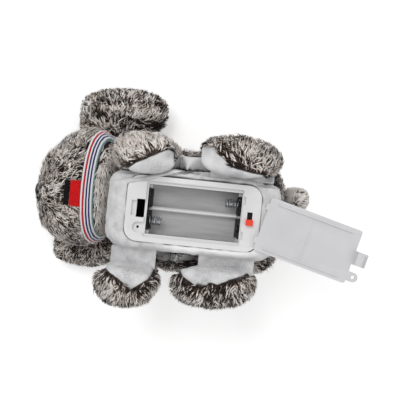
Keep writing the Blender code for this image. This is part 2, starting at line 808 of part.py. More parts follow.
def make_battery_housing():
    tub_x = BAY_HALF_LENGTH + WALL
    tub_y = BAY_HALF_WIDTH + WALL
    tub_bottom = BAY_FLOOR - WALL
    top = PLATE_TOP + OVERRUN
    seat = PLATE_TOP - SEAT_DEPTH
    housing = part("battery_housing", slab([plate_outline()], SKIRT_BOTTOM, PLATE_TOP), PLASTIC)
    cut(housing, slab([plate_outline(WALL)], SKIRT_BOTTOM - OVERRUN, PLATE_UNDER))
    join(
        housing,
        block((-tub_x, -tub_y, tub_bottom), (tub_x, tub_y, PLATE_UNDER + OVERRUN)),
        many(
            [
                rod(BOSS_RADIUS, (x, y, SKIRT_BOTTOM), (x, y, PLATE_UNDER + OVERRUN))
                for x, y in boss_places()
            ]
        ),
        rod(
            DOOR_BOSS_RADIUS,
            (LUG_X, LUG_Y, PLATE_UNDER - DOOR_BOSS_LENGTH),
            (LUG_X, LUG_Y, PLATE_UNDER + OVERRUN),
            ROUND_SIDES,
        ),
        many(board_pillars(tub_bottom)),
    )
    cut(
        housing,
        block(
            (-BAY_HALF_LENGTH, -BAY_HALF_WIDTH, BAY_FLOOR), (BAY_HALF_LENGTH, BAY_HALF_WIDTH, top)
        ),
        slab([door_outline(GAP, True)], seat, top),
        block(
            (LATCH_HOLE_FRONT, -LATCH_WIDTH / 2, PLATE_UNDER - OVERRUN),
            (LATCH_HOLE_REAR, LATCH_WIDTH / 2, top),
        ),
        rod(
            DOOR_SCREW_RADIUS,
            (LUG_X, LUG_Y, PLATE_UNDER - DOOR_BOSS_LENGTH + WALL),
            (LUG_X, LUG_Y, top),
        ),
        block(
            (SWITCH_X - SLOT_WIDTH / 2, -SLOT_LENGTH / 2, PLATE_UNDER - OVERRUN),
            (SWITCH_X + SLOT_WIDTH / 2, SLOT_LENGTH / 2, top),
        ),
        many(
            [
                rod(
                    SCREW_RADIUS + GAP,
                    (x, y, SKIRT_BOTTOM - OVERRUN),
                    (x, y, COUNTERBORE_TOP + SCREW_LENGTH),
                )
                for x, y in boss_places()
            ]
        ),
    )
    join(housing, many(bay_fittings()))


def board_pillars(tub_bottom):
    """Four stubs under the bay that the circuit board hangs from."""
    bottom = BAY_FLOOR - WALL - BOARD_DROP + BOARD_THICKNESS + GAP
    xs = (BOARD_FRONT + BOARD_PILLAR, BOARD_REAR - BOARD_PILLAR)
    ys = (-BOARD_HALF_WIDTH + BOARD_PILLAR, BOARD_HALF_WIDTH - BOARD_PILLAR)
    half = BOARD_PILLAR / 2
    return [
        block((x - half, y - half, bottom), (x + half, y + half, tub_bottom + WALL / 2))
        for x in xs
        for y in ys
    ]


def door_outline(more=0.0, notches=False):
    """The cover's outline with its screw lug, or with room for its latch and tabs as well."""
    y = DOOR_WIDTH / 2 + more
    front = DOOR_FRONT - more
    rear = DOOR_REAR + more
    lug = LUG_RADIUS + more
    outline = rounded(front, -y, rear, y, DOOR_CORNER, 3)
    bumps = [(front, LUG_Y + lug)]
    for step in range(ROUND_SIDES // 2 + 1):
        turn = math.pi * (0.5 + 2 * step / ROUND_SIDES)
        bumps.append((LUG_X + lug * math.cos(turn), LUG_Y + lug * math.sin(turn)))
    bumps.append((front, LUG_Y - lug))
    if notches:
        pad_y = FINGER_WIDTH / 2 + more
        pad_x = FINGER_FRONT - more
        bumps = [(front, pad_y), (pad_x, pad_y), (pad_x, -pad_y), (front, -pad_y), *bumps]
        tab_y = TAB_WIDTH / 2 + more
        tab_x = rear + TAB_LENGTH
        for middle in (-TAB_Y, TAB_Y):
            low, high = middle - tab_y, middle + tab_y
            outline += [(rear, low), (tab_x, low), (tab_x, high), (rear, high)]
    corner = len(rounded(front, -y, rear, y, DOOR_CORNER, 3)) // 2
    return outline[:corner] + bumps + outline[corner:]


def bay_fittings():
    """The low rib between the cells, and the pads that hold the contacts in their slots."""
    sunk = BAY_FLOOR - WALL / 2
    fittings = [
        block(
            (-DIVIDER_HALF_LENGTH, DIVIDER_Y - DIVIDER_WIDTH / 2, sunk),
            (DIVIDER_HALF_LENGTH, DIVIDER_Y + DIVIDER_WIDTH / 2, BAY_FLOOR + DIVIDER_HEIGHT),
        )
    ]
    for end in (-1, 1):
        for side in (-1, 1):
            xs = both_sides(end, BAY_HALF_LENGTH - RETAINER_LENGTH, BAY_HALF_LENGTH + WALL / 2)
            ys = both_sides(side, BAY_HALF_WIDTH - RETAINER_WIDTH, BAY_HALF_WIDTH + WALL / 2)
            fittings.append(block((xs[0], ys[0], sunk), (xs[1], ys[1], RETAINER_TOP)))
    return fittings


def make_contacts():
    wall = BAY_HALF_LENGTH - GAP
    face = wall - CONTACT_THICKNESS
    low = BAY_FLOOR + CONTACT_LIFT
    high = low + CONTACT_HEIGHT
    edge = BAY_HALF_WIDTH - RETAINER_WIDTH - GAP
    inner_left = DIVIDER_Y + CONTACT_INNER
    inner_right = DIVIDER_Y - CONTACT_INNER
    level = BAY_FLOOR + CELL_DIAMETER / 2
    part("contact_bridge", block((-wall, -edge, low), (-face, edge, high)), NICKEL)
    part("contact_negative", block((face, inner_left, low), (wall, edge, high)), NICKEL)
    positive = part("contact_positive", block((face, -edge, low), (wall, inner_right, high)), NICKEL)
    join(
        positive,
        rod(
            BUTTON_RADIUS,
            (face - BUTTON_HEIGHT, RIGHT_CELL_Y, level),
            (face + CONTACT_THICKNESS / 2, RIGHT_CELL_Y, level),
        ),
    )
    make_spring("spring_rear", face - GAP, -1, LEFT_CELL_Y, level, REAR_SPRING_LENGTH)
    make_spring("spring_front", -face + GAP, 1, RIGHT_CELL_Y, level, FRONT_SPRING_LENGTH)


def make_spring(name, base, direction, y, z, length):
    """One unbroken coil that stands out from its contact along X."""
    radius = SPRING_RADIUS - WIRE_RADIUS
    straight = 2 * WIRE_RADIUS
    run = length - straight - WIRE_RADIUS
    count = SPRING_TURNS * SPRING_POINTS
    points = [Vector((base, y + radius, z))]
    for i in range(count + 1):
        turn = math.tau * i / SPRING_POINTS
        x = base + direction * (straight + run * i / count)
        points.append(Vector((x, y + radius * math.cos(turn), z + radius * math.sin(turn))))
    part(name, tube(points, WIRE_RADIUS, 1), STEEL)
    apart = SPRING_POINTS // 2
    least = min(
        (points[i] - points[j]).length
        for i in range(len(points))
        for j in range(i + apart, len(points))
    )
    print(f"{name}: least gap between turns {1000 * (least - 2 * WIRE_RADIUS):.2f} mm")


def make_switch():
    top = PLATE_UNDER - GAP
    body = part(
        "switch_body",
        block(
            (SWITCH_X - SWITCH_HALF_WIDTH, -SWITCH_HALF_LENGTH, top - SWITCH_HEIGHT),
            (SWITCH_X + SWITCH_HALF_WIDTH, SWITCH_HALF_LENGTH, top),
        ),
        BLACK_PLASTIC,
    )
    reach = KNOB_TRAVEL / 2 + STEM_LENGTH / 2 + GAP
    stem_bottom = top - STEM_DEPTH
    cut(
        body,
        block(
            (SWITCH_X - STEM_WIDTH / 2 - GAP, -reach, stem_bottom - GAP),
            (SWITCH_X + STEM_WIDTH / 2 + GAP, reach, top + OVERRUN),
        ),
    )
    slide = pivot("switch_slide", (SWITCH_X, -KNOB_TRAVEL / 2, PLATE_TOP + GAP))
    cap = slab(
        [
            rounded(
                -KNOB_WIDTH / 2, -KNOB_LENGTH / 2, KNOB_WIDTH / 2, KNOB_LENGTH / 2, KNOB_LENGTH / 8, 2
            )
        ],
        0,
        KNOB_HEIGHT,
    )
    knob = part("switch_knob", cap, KNOB_RED, slide)
    join(
        knob,
        block(
            (-STEM_WIDTH / 2, -STEM_LENGTH / 2, stem_bottom - PLATE_TOP - GAP),
            (STEM_WIDTH / 2, STEM_LENGTH / 2, KNOB_HEIGHT / 2),
        ),
    )


def make_door():
    """The cover is drawn in its seat, about the line that it turns over."""
    axis = Vector((-math.sin(DOOR_SKEW), -math.cos(DOOR_SKEW), 0))
    level = (DOOR_TOP + max(PANEL_RIM, PANEL_CREST) + GAP) / 2
    place = Vector((DOOR_PIVOT_X, 0, level))
    hinge = pivot("door_turn", place)
    hinge.rotation_mode = "QUATERNION"
    hinge.rotation_quaternion = Matrix.Rotation(math.pi, 4, axis).to_quaternion()
    back = Matrix.Translation(-place)
    panel = slab([door_outline()], DOOR_UNDER, DOOR_TOP)
    door = part("battery_door", tidy_mesh(panel, back), COVER_PLASTIC, hinge)
    low = DOOR_UNDER + DOOR_SINK
    tabs = [
        block(
            (DOOR_REAR - WALL, middle - TAB_WIDTH / 2, low),
            (DOOR_REAR + TAB_LENGTH, middle + TAB_WIDTH / 2, low + TAB_THICKNESS),
        )
        for middle in (-TAB_Y, TAB_Y)
    ]
    join(door, *[tidy_mesh(shape, back) for shape in (latch(), many([*tabs, *door_rails()]))])
    hole = rod(
        LUG_HOLE, (LUG_X, LUG_Y, DOOR_UNDER - OVERRUN), (LUG_X, LUG_Y, DOOR_TOP + OVERRUN)
    )
    cut(door, tidy_mesh(hole, back))


def latch():
    """The springy U of the latch: down from the cover's edge, back up, and out to a finger pad."""
    wall = LATCH_SPRING
    near = LATCH_HOLE_REAR - GAP
    far = LATCH_HOLE_FRONT + GAP
    bottom = DOOR_UNDER - LATCH_DEPTH
    high = DOOR_TOP - DOOR_SINK
    low = DOOR_UNDER + DOOR_SINK
    outline = [
        (DOOR_FRONT + WALL, high),
        (near - wall, high),
        (near - wall, bottom + wall),
        (far + wall, bottom + wall),
        (far + wall, high),
        (FINGER_FRONT, high),
        (FINGER_FRONT, low),
        (far, low),
        (far, bottom),
        (near, bottom),
        (near, low),
        (DOOR_FRONT + WALL, low),
    ]
    return slab([outline], -FINGER_WIDTH / 2, FINGER_WIDTH / 2, "Y")


def door_rails():
    """Low ribs inside the cover that hold the cells down, and one across it."""
    top = DOOR_UNDER + DOOR_THICKNESS / 2
    bottom = DOOR_UNDER - RAIL_HEIGHT
    half = RAIL_WIDTH / 2
    rails = [
        block((-RAIL_HALF_LENGTH, y - half, bottom), (RAIL_HALF_LENGTH, y + half, top))
        for y in (-RAIL_Y, RAIL_Y)
    ]
    reach = RAIL_Y - RAIL_WIDTH
    rails.append(block((-half, -reach, DOOR_UNDER - RAIL_HEIGHT / 3), (half, reach, top)))
    return rails


def make_tray():
    """The gearbox tray, with its partition, motor cradle, screw bosses and tail lugs."""
    floor = TRAY_BOTTOM + WALL
    sunk = TRAY_BOTTOM + WALL / 2
    tray = part("gear_housing", slab([plate_outline()], TRAY_BOTTOM, TRAY_TOP), TRAY_PLASTIC)
    cut(tray, slab([plate_outline(WALL)], floor, TRAY_TOP + OVERRUN))
    motor_low = DRIVE_Z - MOTOR_DIAMETER / 2 - GAP
    motor_end = motor_front() - MOTOR_LENGTH
    cradle = [
        block(
            (MOTOR_X - MOTOR_FLATS / 2, y, sunk), (MOTOR_X + MOTOR_FLATS / 2, y + CRADLE_RIB, motor_low)
        )
        for y in (motor_end + CRADLE_RIB, motor_front() - 2 * CRADLE_RIB)
    ]
    partition = block(
        (FIRST_X - 2 * WALL, PARTITION_FACE - WALL, sunk),
        (CRANK_X + GEAR_CENTRES, PARTITION_FACE, floor + PARTITION_HEIGHT),
    )
    bosses = [rod(BOSS_RADIUS, (x, y, sunk), (x, y, TRAY_TOP)) for x, y in boss_places()]
    join(tray, many([*cradle, partition]), many(bosses), many(tail_lugs()))
    holes = [
        rod(AXLE_RADIUS + SIDE_RUN, (CRANK_X, -ROCKER_IN, DRIVE_Z), (CRANK_X, ROCKER_IN, DRIVE_Z)),
        *stub_holes(),
        *axle_holes(),
        *speaker_holes(),
        rod(
            TAIL_PIN_RADIUS + GAP,
            (*tail_pivot().xy, TAIL_PIVOT_Z - TAIL_EYE_HALF - TAIL_LUG - OVERRUN),
            (*tail_pivot().xy, TAIL_PIVOT_Z + TAIL_EYE_HALF + TAIL_LUG + OVERRUN),
        ),
    ]
    for x, y in boss_places():
        profile = [
            (0, TRAY_TOP + OVERRUN),
            (SCREW_RADIUS + GAP, TRAY_TOP + OVERRUN),
            (SCREW_RADIUS + GAP, COUNTERBORE_TOP),
            (COUNTERBORE_RADIUS, COUNTERBORE_TOP),
            (COUNTERBORE_RADIUS, TRAY_BOTTOM - OVERRUN),
            (0, TRAY_BOTTOM - OVERRUN),
        ]
        holes.append(turned(profile, (x, y, 0), sides=PIN_SIDES))
    cut(tray, many(holes))


def motor_front():
    return MIDDLE_PLANE - GEAR_SPACE


def stub_holes():
    for x in (FRONT_HIP_X, REAR_HIP_X):
        for side in (-1, 1):
            inner = (x, side * (TRAY_INSIDE - OVERRUN), HIP_Z)
            outer = (x, side * (PLATE_SIDE + OVERRUN), HIP_Z)
            yield rod(STUB_RADIUS + GAP, inner, outer)


def axle_holes():
    """Seats for the two gear pins, through the partition and into the outer wall."""
    for x in (FIRST_X, SECOND_X):
        yield rod(
            GEAR_PIN + GAP,
            (x, PARTITION_FACE - WALL - OVERRUN, DRIVE_Z),
            (x, PLATE_SIDE - WALL / 4, DRIVE_Z),
            SMALL_SIDES,
        )


def speaker_holes():
    x = PLATE_REAR - WALL - OVERRUN
    for i in range(SPEAKER_HOLES):
        turn = math.tau * i / SPEAKER_HOLES
        y = SPEAKER_HOLE_RING * math.cos(turn)
        z = speaker_level() + SPEAKER_HOLE_RING * math.sin(turn)
        yield rod(SPEAKER_HOLE, (x, y, z), (PLATE_REAR + OVERRUN, y, z), SMALL_SIDES)


def speaker_level():
    return TRAY_BOTTOM + WALL + GAP + SPEAKER_RADIUS


def tail_pivot():
    return Vector((PLATE_REAR + TAIL_PIVOT_OUT, 0, TAIL_PIVOT_Z))


def tail_lugs():
    end = PLATE_REAR + TAIL_PIVOT_OUT + TAIL_EYE_RADIUS
    near = TAIL_EYE_HALF + GAP
    for side in (-1, 1):
        low, high = both_sides(side, near, near + TAIL_LUG)
        yield block(
            (PLATE_REAR - WALL / 2, -TAIL_LUG_HALF_WIDTH, TAIL_PIVOT_Z + low),
            (end, TAIL_LUG_HALF_WIDTH, TAIL_PIVOT_Z + high),
        )


def make_chassis_screws():
    profile = [
        (0, SCREW_HEAD_HEIGHT + SCREW_LENGTH),
        (SCREW_RADIUS * 0.6, SCREW_HEAD_HEIGHT + SCREW_LENGTH),
        (SCREW_RADIUS, SCREW_HEAD_HEIGHT + SCREW_LENGTH - SCREW_RADIUS),
        (SCREW_RADIUS, SCREW_HEAD_HEIGHT),
        (SCREW_HEAD_RADIUS, SCREW_HEAD_HEIGHT),
        (SCREW_HEAD_RADIUS, 0),
        (0, 0),
    ]
    bottom = COUNTERBORE_TOP - GAP - SCREW_HEAD_HEIGHT
    for number, (x, y) in enumerate(boss_places(), 1):
        part(
            f"chassis_screw_{number}",
            turned(profile, sides=PIN_SIDES),
            STEEL,
            place=(x, y, bottom),
            round_piece=True,
        )


def make_motor():
    front = motor_front()
    radius = MOTOR_DIAMETER / 2
    can = rod(radius, (0, front - MOTOR_LENGTH, 0), (0, front, 0), ROUND_SIDES)
    motor = part("motor_can", can, STEEL, place=(MOTOR_X, 0, DRIVE_Z))
    flat = MOTOR_FLATS / 2
    far = front + OVERRUN
    near = front - MOTOR_LENGTH - OVERRUN
    sides = [
        block((sorted((side * flat, side * 2 * radius))[0], near, -2 * radius),
              (sorted((side * flat, side * 2 * radius))[1], far, 2 * radius))
        for side in (-1, 1)
    ]
    hole = rod(MOTOR_BOSS_HOLE, (0, front - MOTOR_SHAFT_SEAT, 0), (0, far, 0))
    cut(motor, many(sides), hole)
    spin = pivot("motor_spin", (MOTOR_X, 0, DRIVE_Z))
    end = OUTER_PLANE + GEAR_FACE
    rotor = part("motor_pinion", pinion(OUTER_PLANE, end), BRASS, spin)
    join(rotor, rod(MOTOR_SHAFT, (0, front - MOTOR_SHAFT_SEAT + GAP, 0), (0, end - GEAR_FACE / 2, 0)))


def make_compound_gear(name, x, wheel_plane, pinion_plane):
    """A wheel and a small pinion in one moulding, on a fixed pin."""
    spin = pivot(f"{name}_spin", (x, 0, DRIVE_Z))
    gear = part(name, wheel(wheel_plane, wheel_plane + GEAR_FACE), NATURAL_NYLON, spin)
    join(gear, pinion(pinion_plane, wheel_plane + GEAR_FACE / 2))
    far = wheel_plane + GEAR_FACE + OVERRUN
    cut(gear, rod(GEAR_BORE, (0, pinion_plane - OVERRUN, 0), (0, far, 0)))
    part(
        f"{name}_axle",
        rod(
            GEAR_PIN,
            (0, PARTITION_FACE - WALL, 0),
            (0, PLATE_SIDE - WALL / 4 - GAP, 0),
        ),
        STEEL,
        place=(x, 0, DRIVE_Z),
    )


def crank_phase(side):
    """The turn of a crank pin at rest that matches the rest swing of its legs."""
    turn = math.acos(-math.sin(REST_SWING) * LEVER_LENGTH / CRANK_THROW)
    return turn if side > 0 else turn + math.pi


def make_crank():
    spin = pivot("crank_spin", (CRANK_X, 0, DRIVE_Z))
    axle = rod(AXLE_RADIUS, (0, -ROCKER_OUT, 0), (0, ROCKER_OUT, 0))
    part("crank_axle", axle, STEEL, spin, round_piece=True)
    bore = AXLE_RADIUS + GAP
    part(
        "crank_gear",
        wheel(INNER_PLANE, INNER_PLANE + GEAR_FACE, [circle(0, 0, bore)]),
        NATURAL_NYLON,
        spin,
    )
    for side, side_name in ((1, "left"), (-1, "right")):
        turn = crank_phase(side)
        x, z = CRANK_THROW * math.cos(turn), CRANK_THROW * math.sin(turn)
        disc = slab(
            [circle(0, 0, CRANK_DISC_RADIUS, ROUND_SIDES), circle(0, 0, bore)],
            *both_sides(side, ROCKER_IN, ROCKER_OUT),
            "Y",
        )
        disc = part(f"crank_disc_{side_name}", disc, NATURAL_NYLON, spin)
        inner = side * (ROCKER_OUT - SIDE_PLATE / 2)
        join(disc, rod(LINK_PIN_RADIUS, (x, inner, z), (x, side * LINK_OUT, z)))


def make_rockers_and_legs():
    for name, x, side, splay, half_width, shift in hips():
        hip = pivot(f"{name}_hip", (x, side * HIP_Y, HIP_Z), (0, side * REST_SWING, 0))
        make_rocker(name, side, hip)
        root = pivot(f"{name}_root", (0, 0, 0), (-side * splay, 0, 0), hip)
        make_leg(name, side, half_width, shift, root)


def make_rocker(name, side, hip):
    """The lever behind a leg: stub, plate, neck and ball, with a pin for the side link."""
    def out(distance):
        return distance - HIP_Y

    outline = [
        (ROCKER_RADIUS * math.cos(turn), ROCKER_RADIUS * math.sin(turn) + drop)
        for drop, start in ((0, 0), (-LEVER_LENGTH, math.pi))
        for turn in [start + math.pi * i / 8 for i in range(9)]
    ]
    plate = slab([outline], *both_sides(side, out(ROCKER_IN), out(ROCKER_OUT)), "Y")
    rocker = part(f"rocker_{name}", plate, NATURAL_NYLON, hip)
    stub_end = TRAY_INSIDE - WALL / 4
    steps = 8
    near_neck = math.sqrt(BALL_RADIUS**2 - NECK_RADIUS**2)
    start = math.atan2(NECK_RADIUS, -near_neck)
    dome = [start * (steps - i) / steps for i in range(steps + 1)]
    profile = [
        (BALL_RADIUS * math.sin(turn), BALL_RADIUS * math.cos(turn)) for turn in reversed(dome)
    ]
    profile[0] = (0, BALL_RADIUS)
    middle = out(ROCKER_IN + SIDE_PLATE / 2)
    profile += [
        (NECK_RADIUS, middle),
        (STUB_RADIUS, middle),
        (STUB_RADIUS, out(stub_end)),
        (0, out(stub_end)),
    ]
    pin = rod(
        LINK_PIN_RADIUS,
        (0, side * middle, -LEVER_LENGTH),
        (0, side * out(LINK_PIN_END), -LEVER_LENGTH),
    )
    join(rocker, turned(profile, direction=(0, side, 0), sides=PIN_SIDES), pin)


def make_leg(name, side, half_width, shift, root):
    rings = []
    for along, wide, thick in LEG_RING_SHARES:
        rings.append(
            [
                (
                    shift * max(along, 0) + across * wide * half_width,
                    deep * thick * LEG_HALF_THICKNESS,
                    along * LEG_LENGTH,
                )
                for across, deep in superellipse(LEG_SIDES)
            ]
        )
    low = (shift - half_width, -LEG_HALF_THICKNESS, -LEG_ROOT_SHARE * LEG_LENGTH)
    high = (shift + half_width, LEG_HALF_THICKNESS, LEG_LENGTH)
    leg = part(f"leg_{name}", soft_form(rings, low, high), FUR, root, round_piece=True)
    socket = BALL_RADIUS + GAP
    half_slot = NECK_RADIUS + NECK_ROOM
    rise = half_slot / math.cos(LEAST_SPLAY)
    drop = half_slot / math.cos(MOST_SPLAY)
    fan = [
        (0, rise),
        (-side * SOCKET_REACH, rise - SOCKET_REACH * math.tan(LEAST_SPLAY)),
        (-side * SOCKET_REACH, -drop - SOCKET_REACH * math.tan(MOST_SPLAY)),
        (0, -drop),
    ]
    cut(leg, ball((0, 0, 0), (socket,) * 3, PIN_SIDES, PIN_SIDES // 2))
    cut(leg, slab([fan], -half_slot, half_slot, "X"))


def make_side_links():
    """Each bar joins two rockers, with a window that its crank pin turns in."""
    span = REAR_HIP_X - FRONT_HIP_X
    rise = LEVER_LENGTH * (1 - math.cos(MOST_SWING))
    middle = CRANK_X - FRONT_HIP_X
    half = CRANK_THROW + LINK_PIN_RADIUS + CRANK_THROW + GAP
    high = CRANK_THROW + LINK_PIN_RADIUS + rise + GAP
    start, end = middle - half - LINK_RIM, middle + half + LINK_RIM
    top = high + LINK_RIM
    level = LINK_HALF_HEIGHT
    ends = [
        [
            (x + level * math.cos(turn), level * math.sin(turn))
            for turn in [first + math.pi * i / 6 for i in range(7)]
        ]
        for x, first in ((0, math.pi / 2), (span, -math.pi / 2))
    ]
    outline = [
        *ends[0],
        (start, -level),
        (start, -top),
        (end, -top),
        (end, -level),
        *ends[1],
        (end, level),
        (end, top),
        (start, top),
        (start, level),
    ]
    holes = [circle(x, 0, LINK_PIN_RADIUS + GAP) for x in (0, span)]
    window = rounded(middle - half, -high, middle + half, high, high / 4, 2)
    for side, side_name in ((1, "left"), (-1, "right")):
        swing = side * REST_SWING
        x = FRONT_HIP_X - LEVER_LENGTH * math.sin(swing)
        z = HIP_Z - LEVER_LENGTH * math.cos(swing)
        pin = pivot(f"side_link_{side_name}_pin", (x, 0, z))
        link = slab([outline, window, *holes], *both_sides(side, LINK_IN, LINK_OUT), "Y")
        part(f"side_link_{side_name}", link, TRAY_PLASTIC, pin)


def make_electronics():
    top = BAY_FLOOR - WALL - BOARD_DROP + BOARD_THICKNESS
    board = part(
        "circuit_board",
        block(
            (BOARD_FRONT, -BOARD_HALF_WIDTH, top - BOARD_THICKNESS),
            (BOARD_REAR, BOARD_HALF_WIDTH, top),
        ),
        BOARD_GREEN,
    )
    join(
        board,
        block(
            (-CHIP_HALF, -CHIP_HALF, top - BOARD_THICKNESS / 2), (CHIP_HALF, CHIP_HALF, top + CHIP_HEIGHT)
        ),
    )
    profile = [
        (0, SPEAKER_DEPTH),
        (SPEAKER_RADIUS, SPEAKER_DEPTH),
        (SPEAKER_RADIUS, SPEAKER_DEPTH - SPEAKER_RIM),
        (SPEAKER_MAGNET_RADIUS, SPEAKER_DEPTH - 2 * SPEAKER_RIM),
        (SPEAKER_MAGNET_RADIUS, 0),
        (0, 0),
    ]
    back = PLATE_REAR - WALL - GAP - SPEAKER_DEPTH
    part(
        "speaker",
        turned(profile, direction=(1, 0, 0)),
        BLACK_PLASTIC,
        place=(back, 0, speaker_level()),
    )


def make_neck():
    face = PLATE_FRONT - GAP
    profile_end = (NECK_ROD_END, 0, NECK_Z)
    flange = rod(NECK_FLANGE_RADIUS, (face - NECK_FLANGE, 0, NECK_Z), (face, 0, NECK_Z), ROUND_SIDES)
    post = part("neck_post", flange, TRAY_PLASTIC)
    join(post, rod(NECK_ROD_RADIUS, (face - NECK_FLANGE / 2, 0, NECK_Z), profile_end))


def make_tail():
    place = tail_pivot()
    turn = pivot("tail_turn", place, (0, 0, TAIL_REST))
    eye = rod(TAIL_EYE_RADIUS, (0, 0, -TAIL_EYE_HALF), (0, 0, TAIL_EYE_HALF))
    bar = part("tail_rod", eye, STEEL, turn)
    reach = TAIL_EYE_HALF + TAIL_LUG
    join(
        bar,
        rod(TAIL_PIN_RADIUS, (0, 0, -reach), (0, 0, reach)),
        rod(TAIL_ROD_RADIUS, (0, 0, 0), (TAIL_ROD_LENGTH, 0, 0)),
    )
    size = TAIL_HIGH - TAIL_LOW
    rings = []
    for along, wide, shift_x, shift_y in TAIL_RING_SHARES:
        rings.append(
            [
                (
                    size.x / 2 * (across * wide - shift_x),
                    size.y / 2 * (deep * wide - shift_y),
                    size.z * along,
                )
                for across, deep in superellipse(TAIL_SIDES)
            ]
        )
    form = tidy_mesh(soft_form(rings, TAIL_LOW, TAIL_HIGH), turn_back(place, TAIL_REST))
    tail = part("tail_plush", form, PALE_FUR, turn, round_piece=True)
    cut(tail, rod(TAIL_ROD_RADIUS + GAP, (0, 0, 0), (TAIL_ROD_LENGTH + GAP, 0, 0)))


def turn_back(place, angle):
    """Takes a shape drawn where it rests into the frame of the pivot it hangs from."""
    return (Matrix.Translation(place) @ Matrix.Rotation(angle, 4, "Z")).inverted()


def body_form():
    size_z = BODY_TOP + REST_CUT
    rings = []
    for along, wide, low, high in BODY_RING_SHARES:
        middle, half = (low + high) / 2, (high - low) / 2
        rings.append(
            [
                (
                    along * (BODY_REAR - BODY_FRONT),
                    across * wide * BODY_HALF_WIDTH,
                    size_z * (middle + up * half),
                )
                for across, up in superellipse(SOFT_SIDES)
            ]
        )
    low = (BODY_FRONT, -BODY_HALF_WIDTH, -REST_CUT)
    return soft_form(rings, low, (BODY_REAR, BODY_HALF_WIDTH, BODY_TOP))


def make_body():
    body = part("body_plush", body_form(), FUR, round_piece=True)
    low = 2 * BODY_FRONT
    under = block((low, low, low), (-low, -low, 0))
    cavity = slab(
        [
            rounded(
                PLATE_FRONT - CAVITY_FRONT_ROOM,
                -CAVITY_SIDE,
                PLATE_REAR + CAVITY_REAR_ROOM,
                CAVITY_SIDE,
                PLATE_CORNER / 2,
                2,
            )
        ],
        BACK_STUFFING,
        BODY_TOP + OVERRUN,
    )
    belly = slab([panel_outline(1, GAP)], PANEL_BOTTOM - GAP, BODY_TOP + OVERRUN)
    neck = rod(
        NECK_ROD_RADIUS + GAP,
        (BODY_FRONT - OVERRUN, 0, NECK_Z),
        (PLATE_FRONT, 0, NECK_Z),
    )
    cut(body, under, cavity, belly, neck, *leg_wells(), *tail_slots())


def leg_wells():
    """Room in the flanks for the roots of the legs, through their whole swing."""
    wells = []
    for name, x, side, splay, half_width, shift in hips():
        foot = half_width * WELL_FOOT_SHARE
        top = half_width + WELL_RISE * math.tan(MOST_SWING) + WELL_ROOM
        outline = [
            (x - foot, HIP_Z - WELL_DROP),
            (x + foot, HIP_Z - WELL_DROP),
            (x + shift + top, HIP_Z + WELL_RISE),
            (x + shift - top, HIP_Z + WELL_RISE),
        ]
        near = CAVITY_SIDE - OVERRUN
        wells.append(slab([outline], *both_sides(side, near, 2 * BODY_HALF_WIDTH), "Y"))
    return wells


def tail_slots():
    place = tail_pivot()
    half = TAIL_SLOT_HALF_HEIGHT
    slot = block(
        (place.x - TAIL_PIVOT_OUT, -TAIL_SLOT_RIGHT, place.z - half),
        (BODY_REAR + OVERRUN, TAIL_SLOT_LEFT, place.z + half),
    )
    high = TAIL_EYE_HALF + TAIL_LUG + 2 * GAP + GAP
    wide = TAIL_LUG_HALF_WIDTH + 2 * GAP
    pocket = block(
        (PLATE_REAR, -wide, place.z - high), (place.x + TAIL_EYE_RADIUS + GAP, wide, place.z + high)
    )
    return slot, pocket


def panel_outline(share, more=0.0):
    """The cloth panel's outline, from the edge of the plate (share 0) to its own edge (share 1)."""
    near = GAP
    front = (PLATE_FRONT - near) * (1 - share) + PANEL_FRONT * share - more
    rear = (PLATE_REAR + near) * (1 - share) + PANEL_REAR * share + more
    side = (PLATE_SIDE + near) * (1 - share) + PANEL_SIDE * share + more
    corner = (PLATE_CORNER + near) * (1 - share) + PANEL_CORNER * share + more
    return rounded(front, -side, rear, side, corner)


def make_belly_panel():
    rows = (
        (0, PANEL_BOTTOM),
        (0, PANEL_LIP),
        (PANEL_RIM_SHARE, PANEL_RIM),
        (PANEL_CREST_SHARE, PANEL_CREST),
        (1, PANEL_EDGE),
        (1, PANEL_BOTTOM),
    )
    work = bmesh.new()
    rings = [[work.verts.new((x, y, z)) for x, y in panel_outline(share)] for share, z in rows]
    sides = len(rings[0])
    for before, after in zip(rings, [*rings[1:], rings[0]]):
        for i in range(sides):
            j = (i + 1) % sides
            work.faces.new((before[i], before[j], after[j], after[i]))
    mesh = bpy.data.meshes.new("panel")
    work.to_mesh(mesh)
    work.free()
    panel = part("belly_panel", tidy_mesh(mesh), WHITE_PLUSH, round_piece=True)
    # The left legs lean over the panel, so its rim is low on their side
    reach = PANEL_REAR - PANEL_FRONT
    top = PANEL_RIM + OVERRUN
    ledge_side = PLATE_SIDE + PANEL_LEDGE_WIDTH
    dip = block((-reach, PANEL_DIP_SIDE, PLATE_TOP - PANEL_DIP), (reach, reach, top))
    ledge = block((-reach, PLATE_SIDE, PANEL_BOTTOM + PANEL_LEDGE), (reach, reach, top))
    side = block((-reach, ledge_side, PANEL_BOTTOM - OVERRUN), (reach, reach, top))
    cut(panel, dip, ledge, side)


def head_form():
    """The stuffed head, with its muzzle."""
    size = HEAD_HIGH - HEAD_LOW
    rings = []
    for along, aside, wide, tall in HEAD_RING_SHARES:
        rings.append(
            [
                (along * size.x, (aside + across * wide) * size.y / 2, up * tall * size.z / 2)
                for across, up in superellipse(SOFT_SIDES)
            ]
        )
    crown = soft_form(rings, HEAD_LOW, HEAD_HIGH)
    muzzle = ball(MUZZLE_CENTRE, MUZZLE_HALF, MUZZLE_SEGMENTS, MUZZLE_RINGS)
    return booled(crown, muzzle, "UNION")


def on_face(form, y, z, sink):
    """The place on the front of the head at a height, sunk under the skin by a distance."""
    tree = BVHTree.FromPolygons([v.co for v in form.vertices], [p.vertices for p in form.polygons])
    start = Vector((2 * HEAD_LOW.x, y, z))
    place = tree.ray_cast(start, Vector((1, 0, 0)))[0]
    return place + Vector((sink, 0, 0))


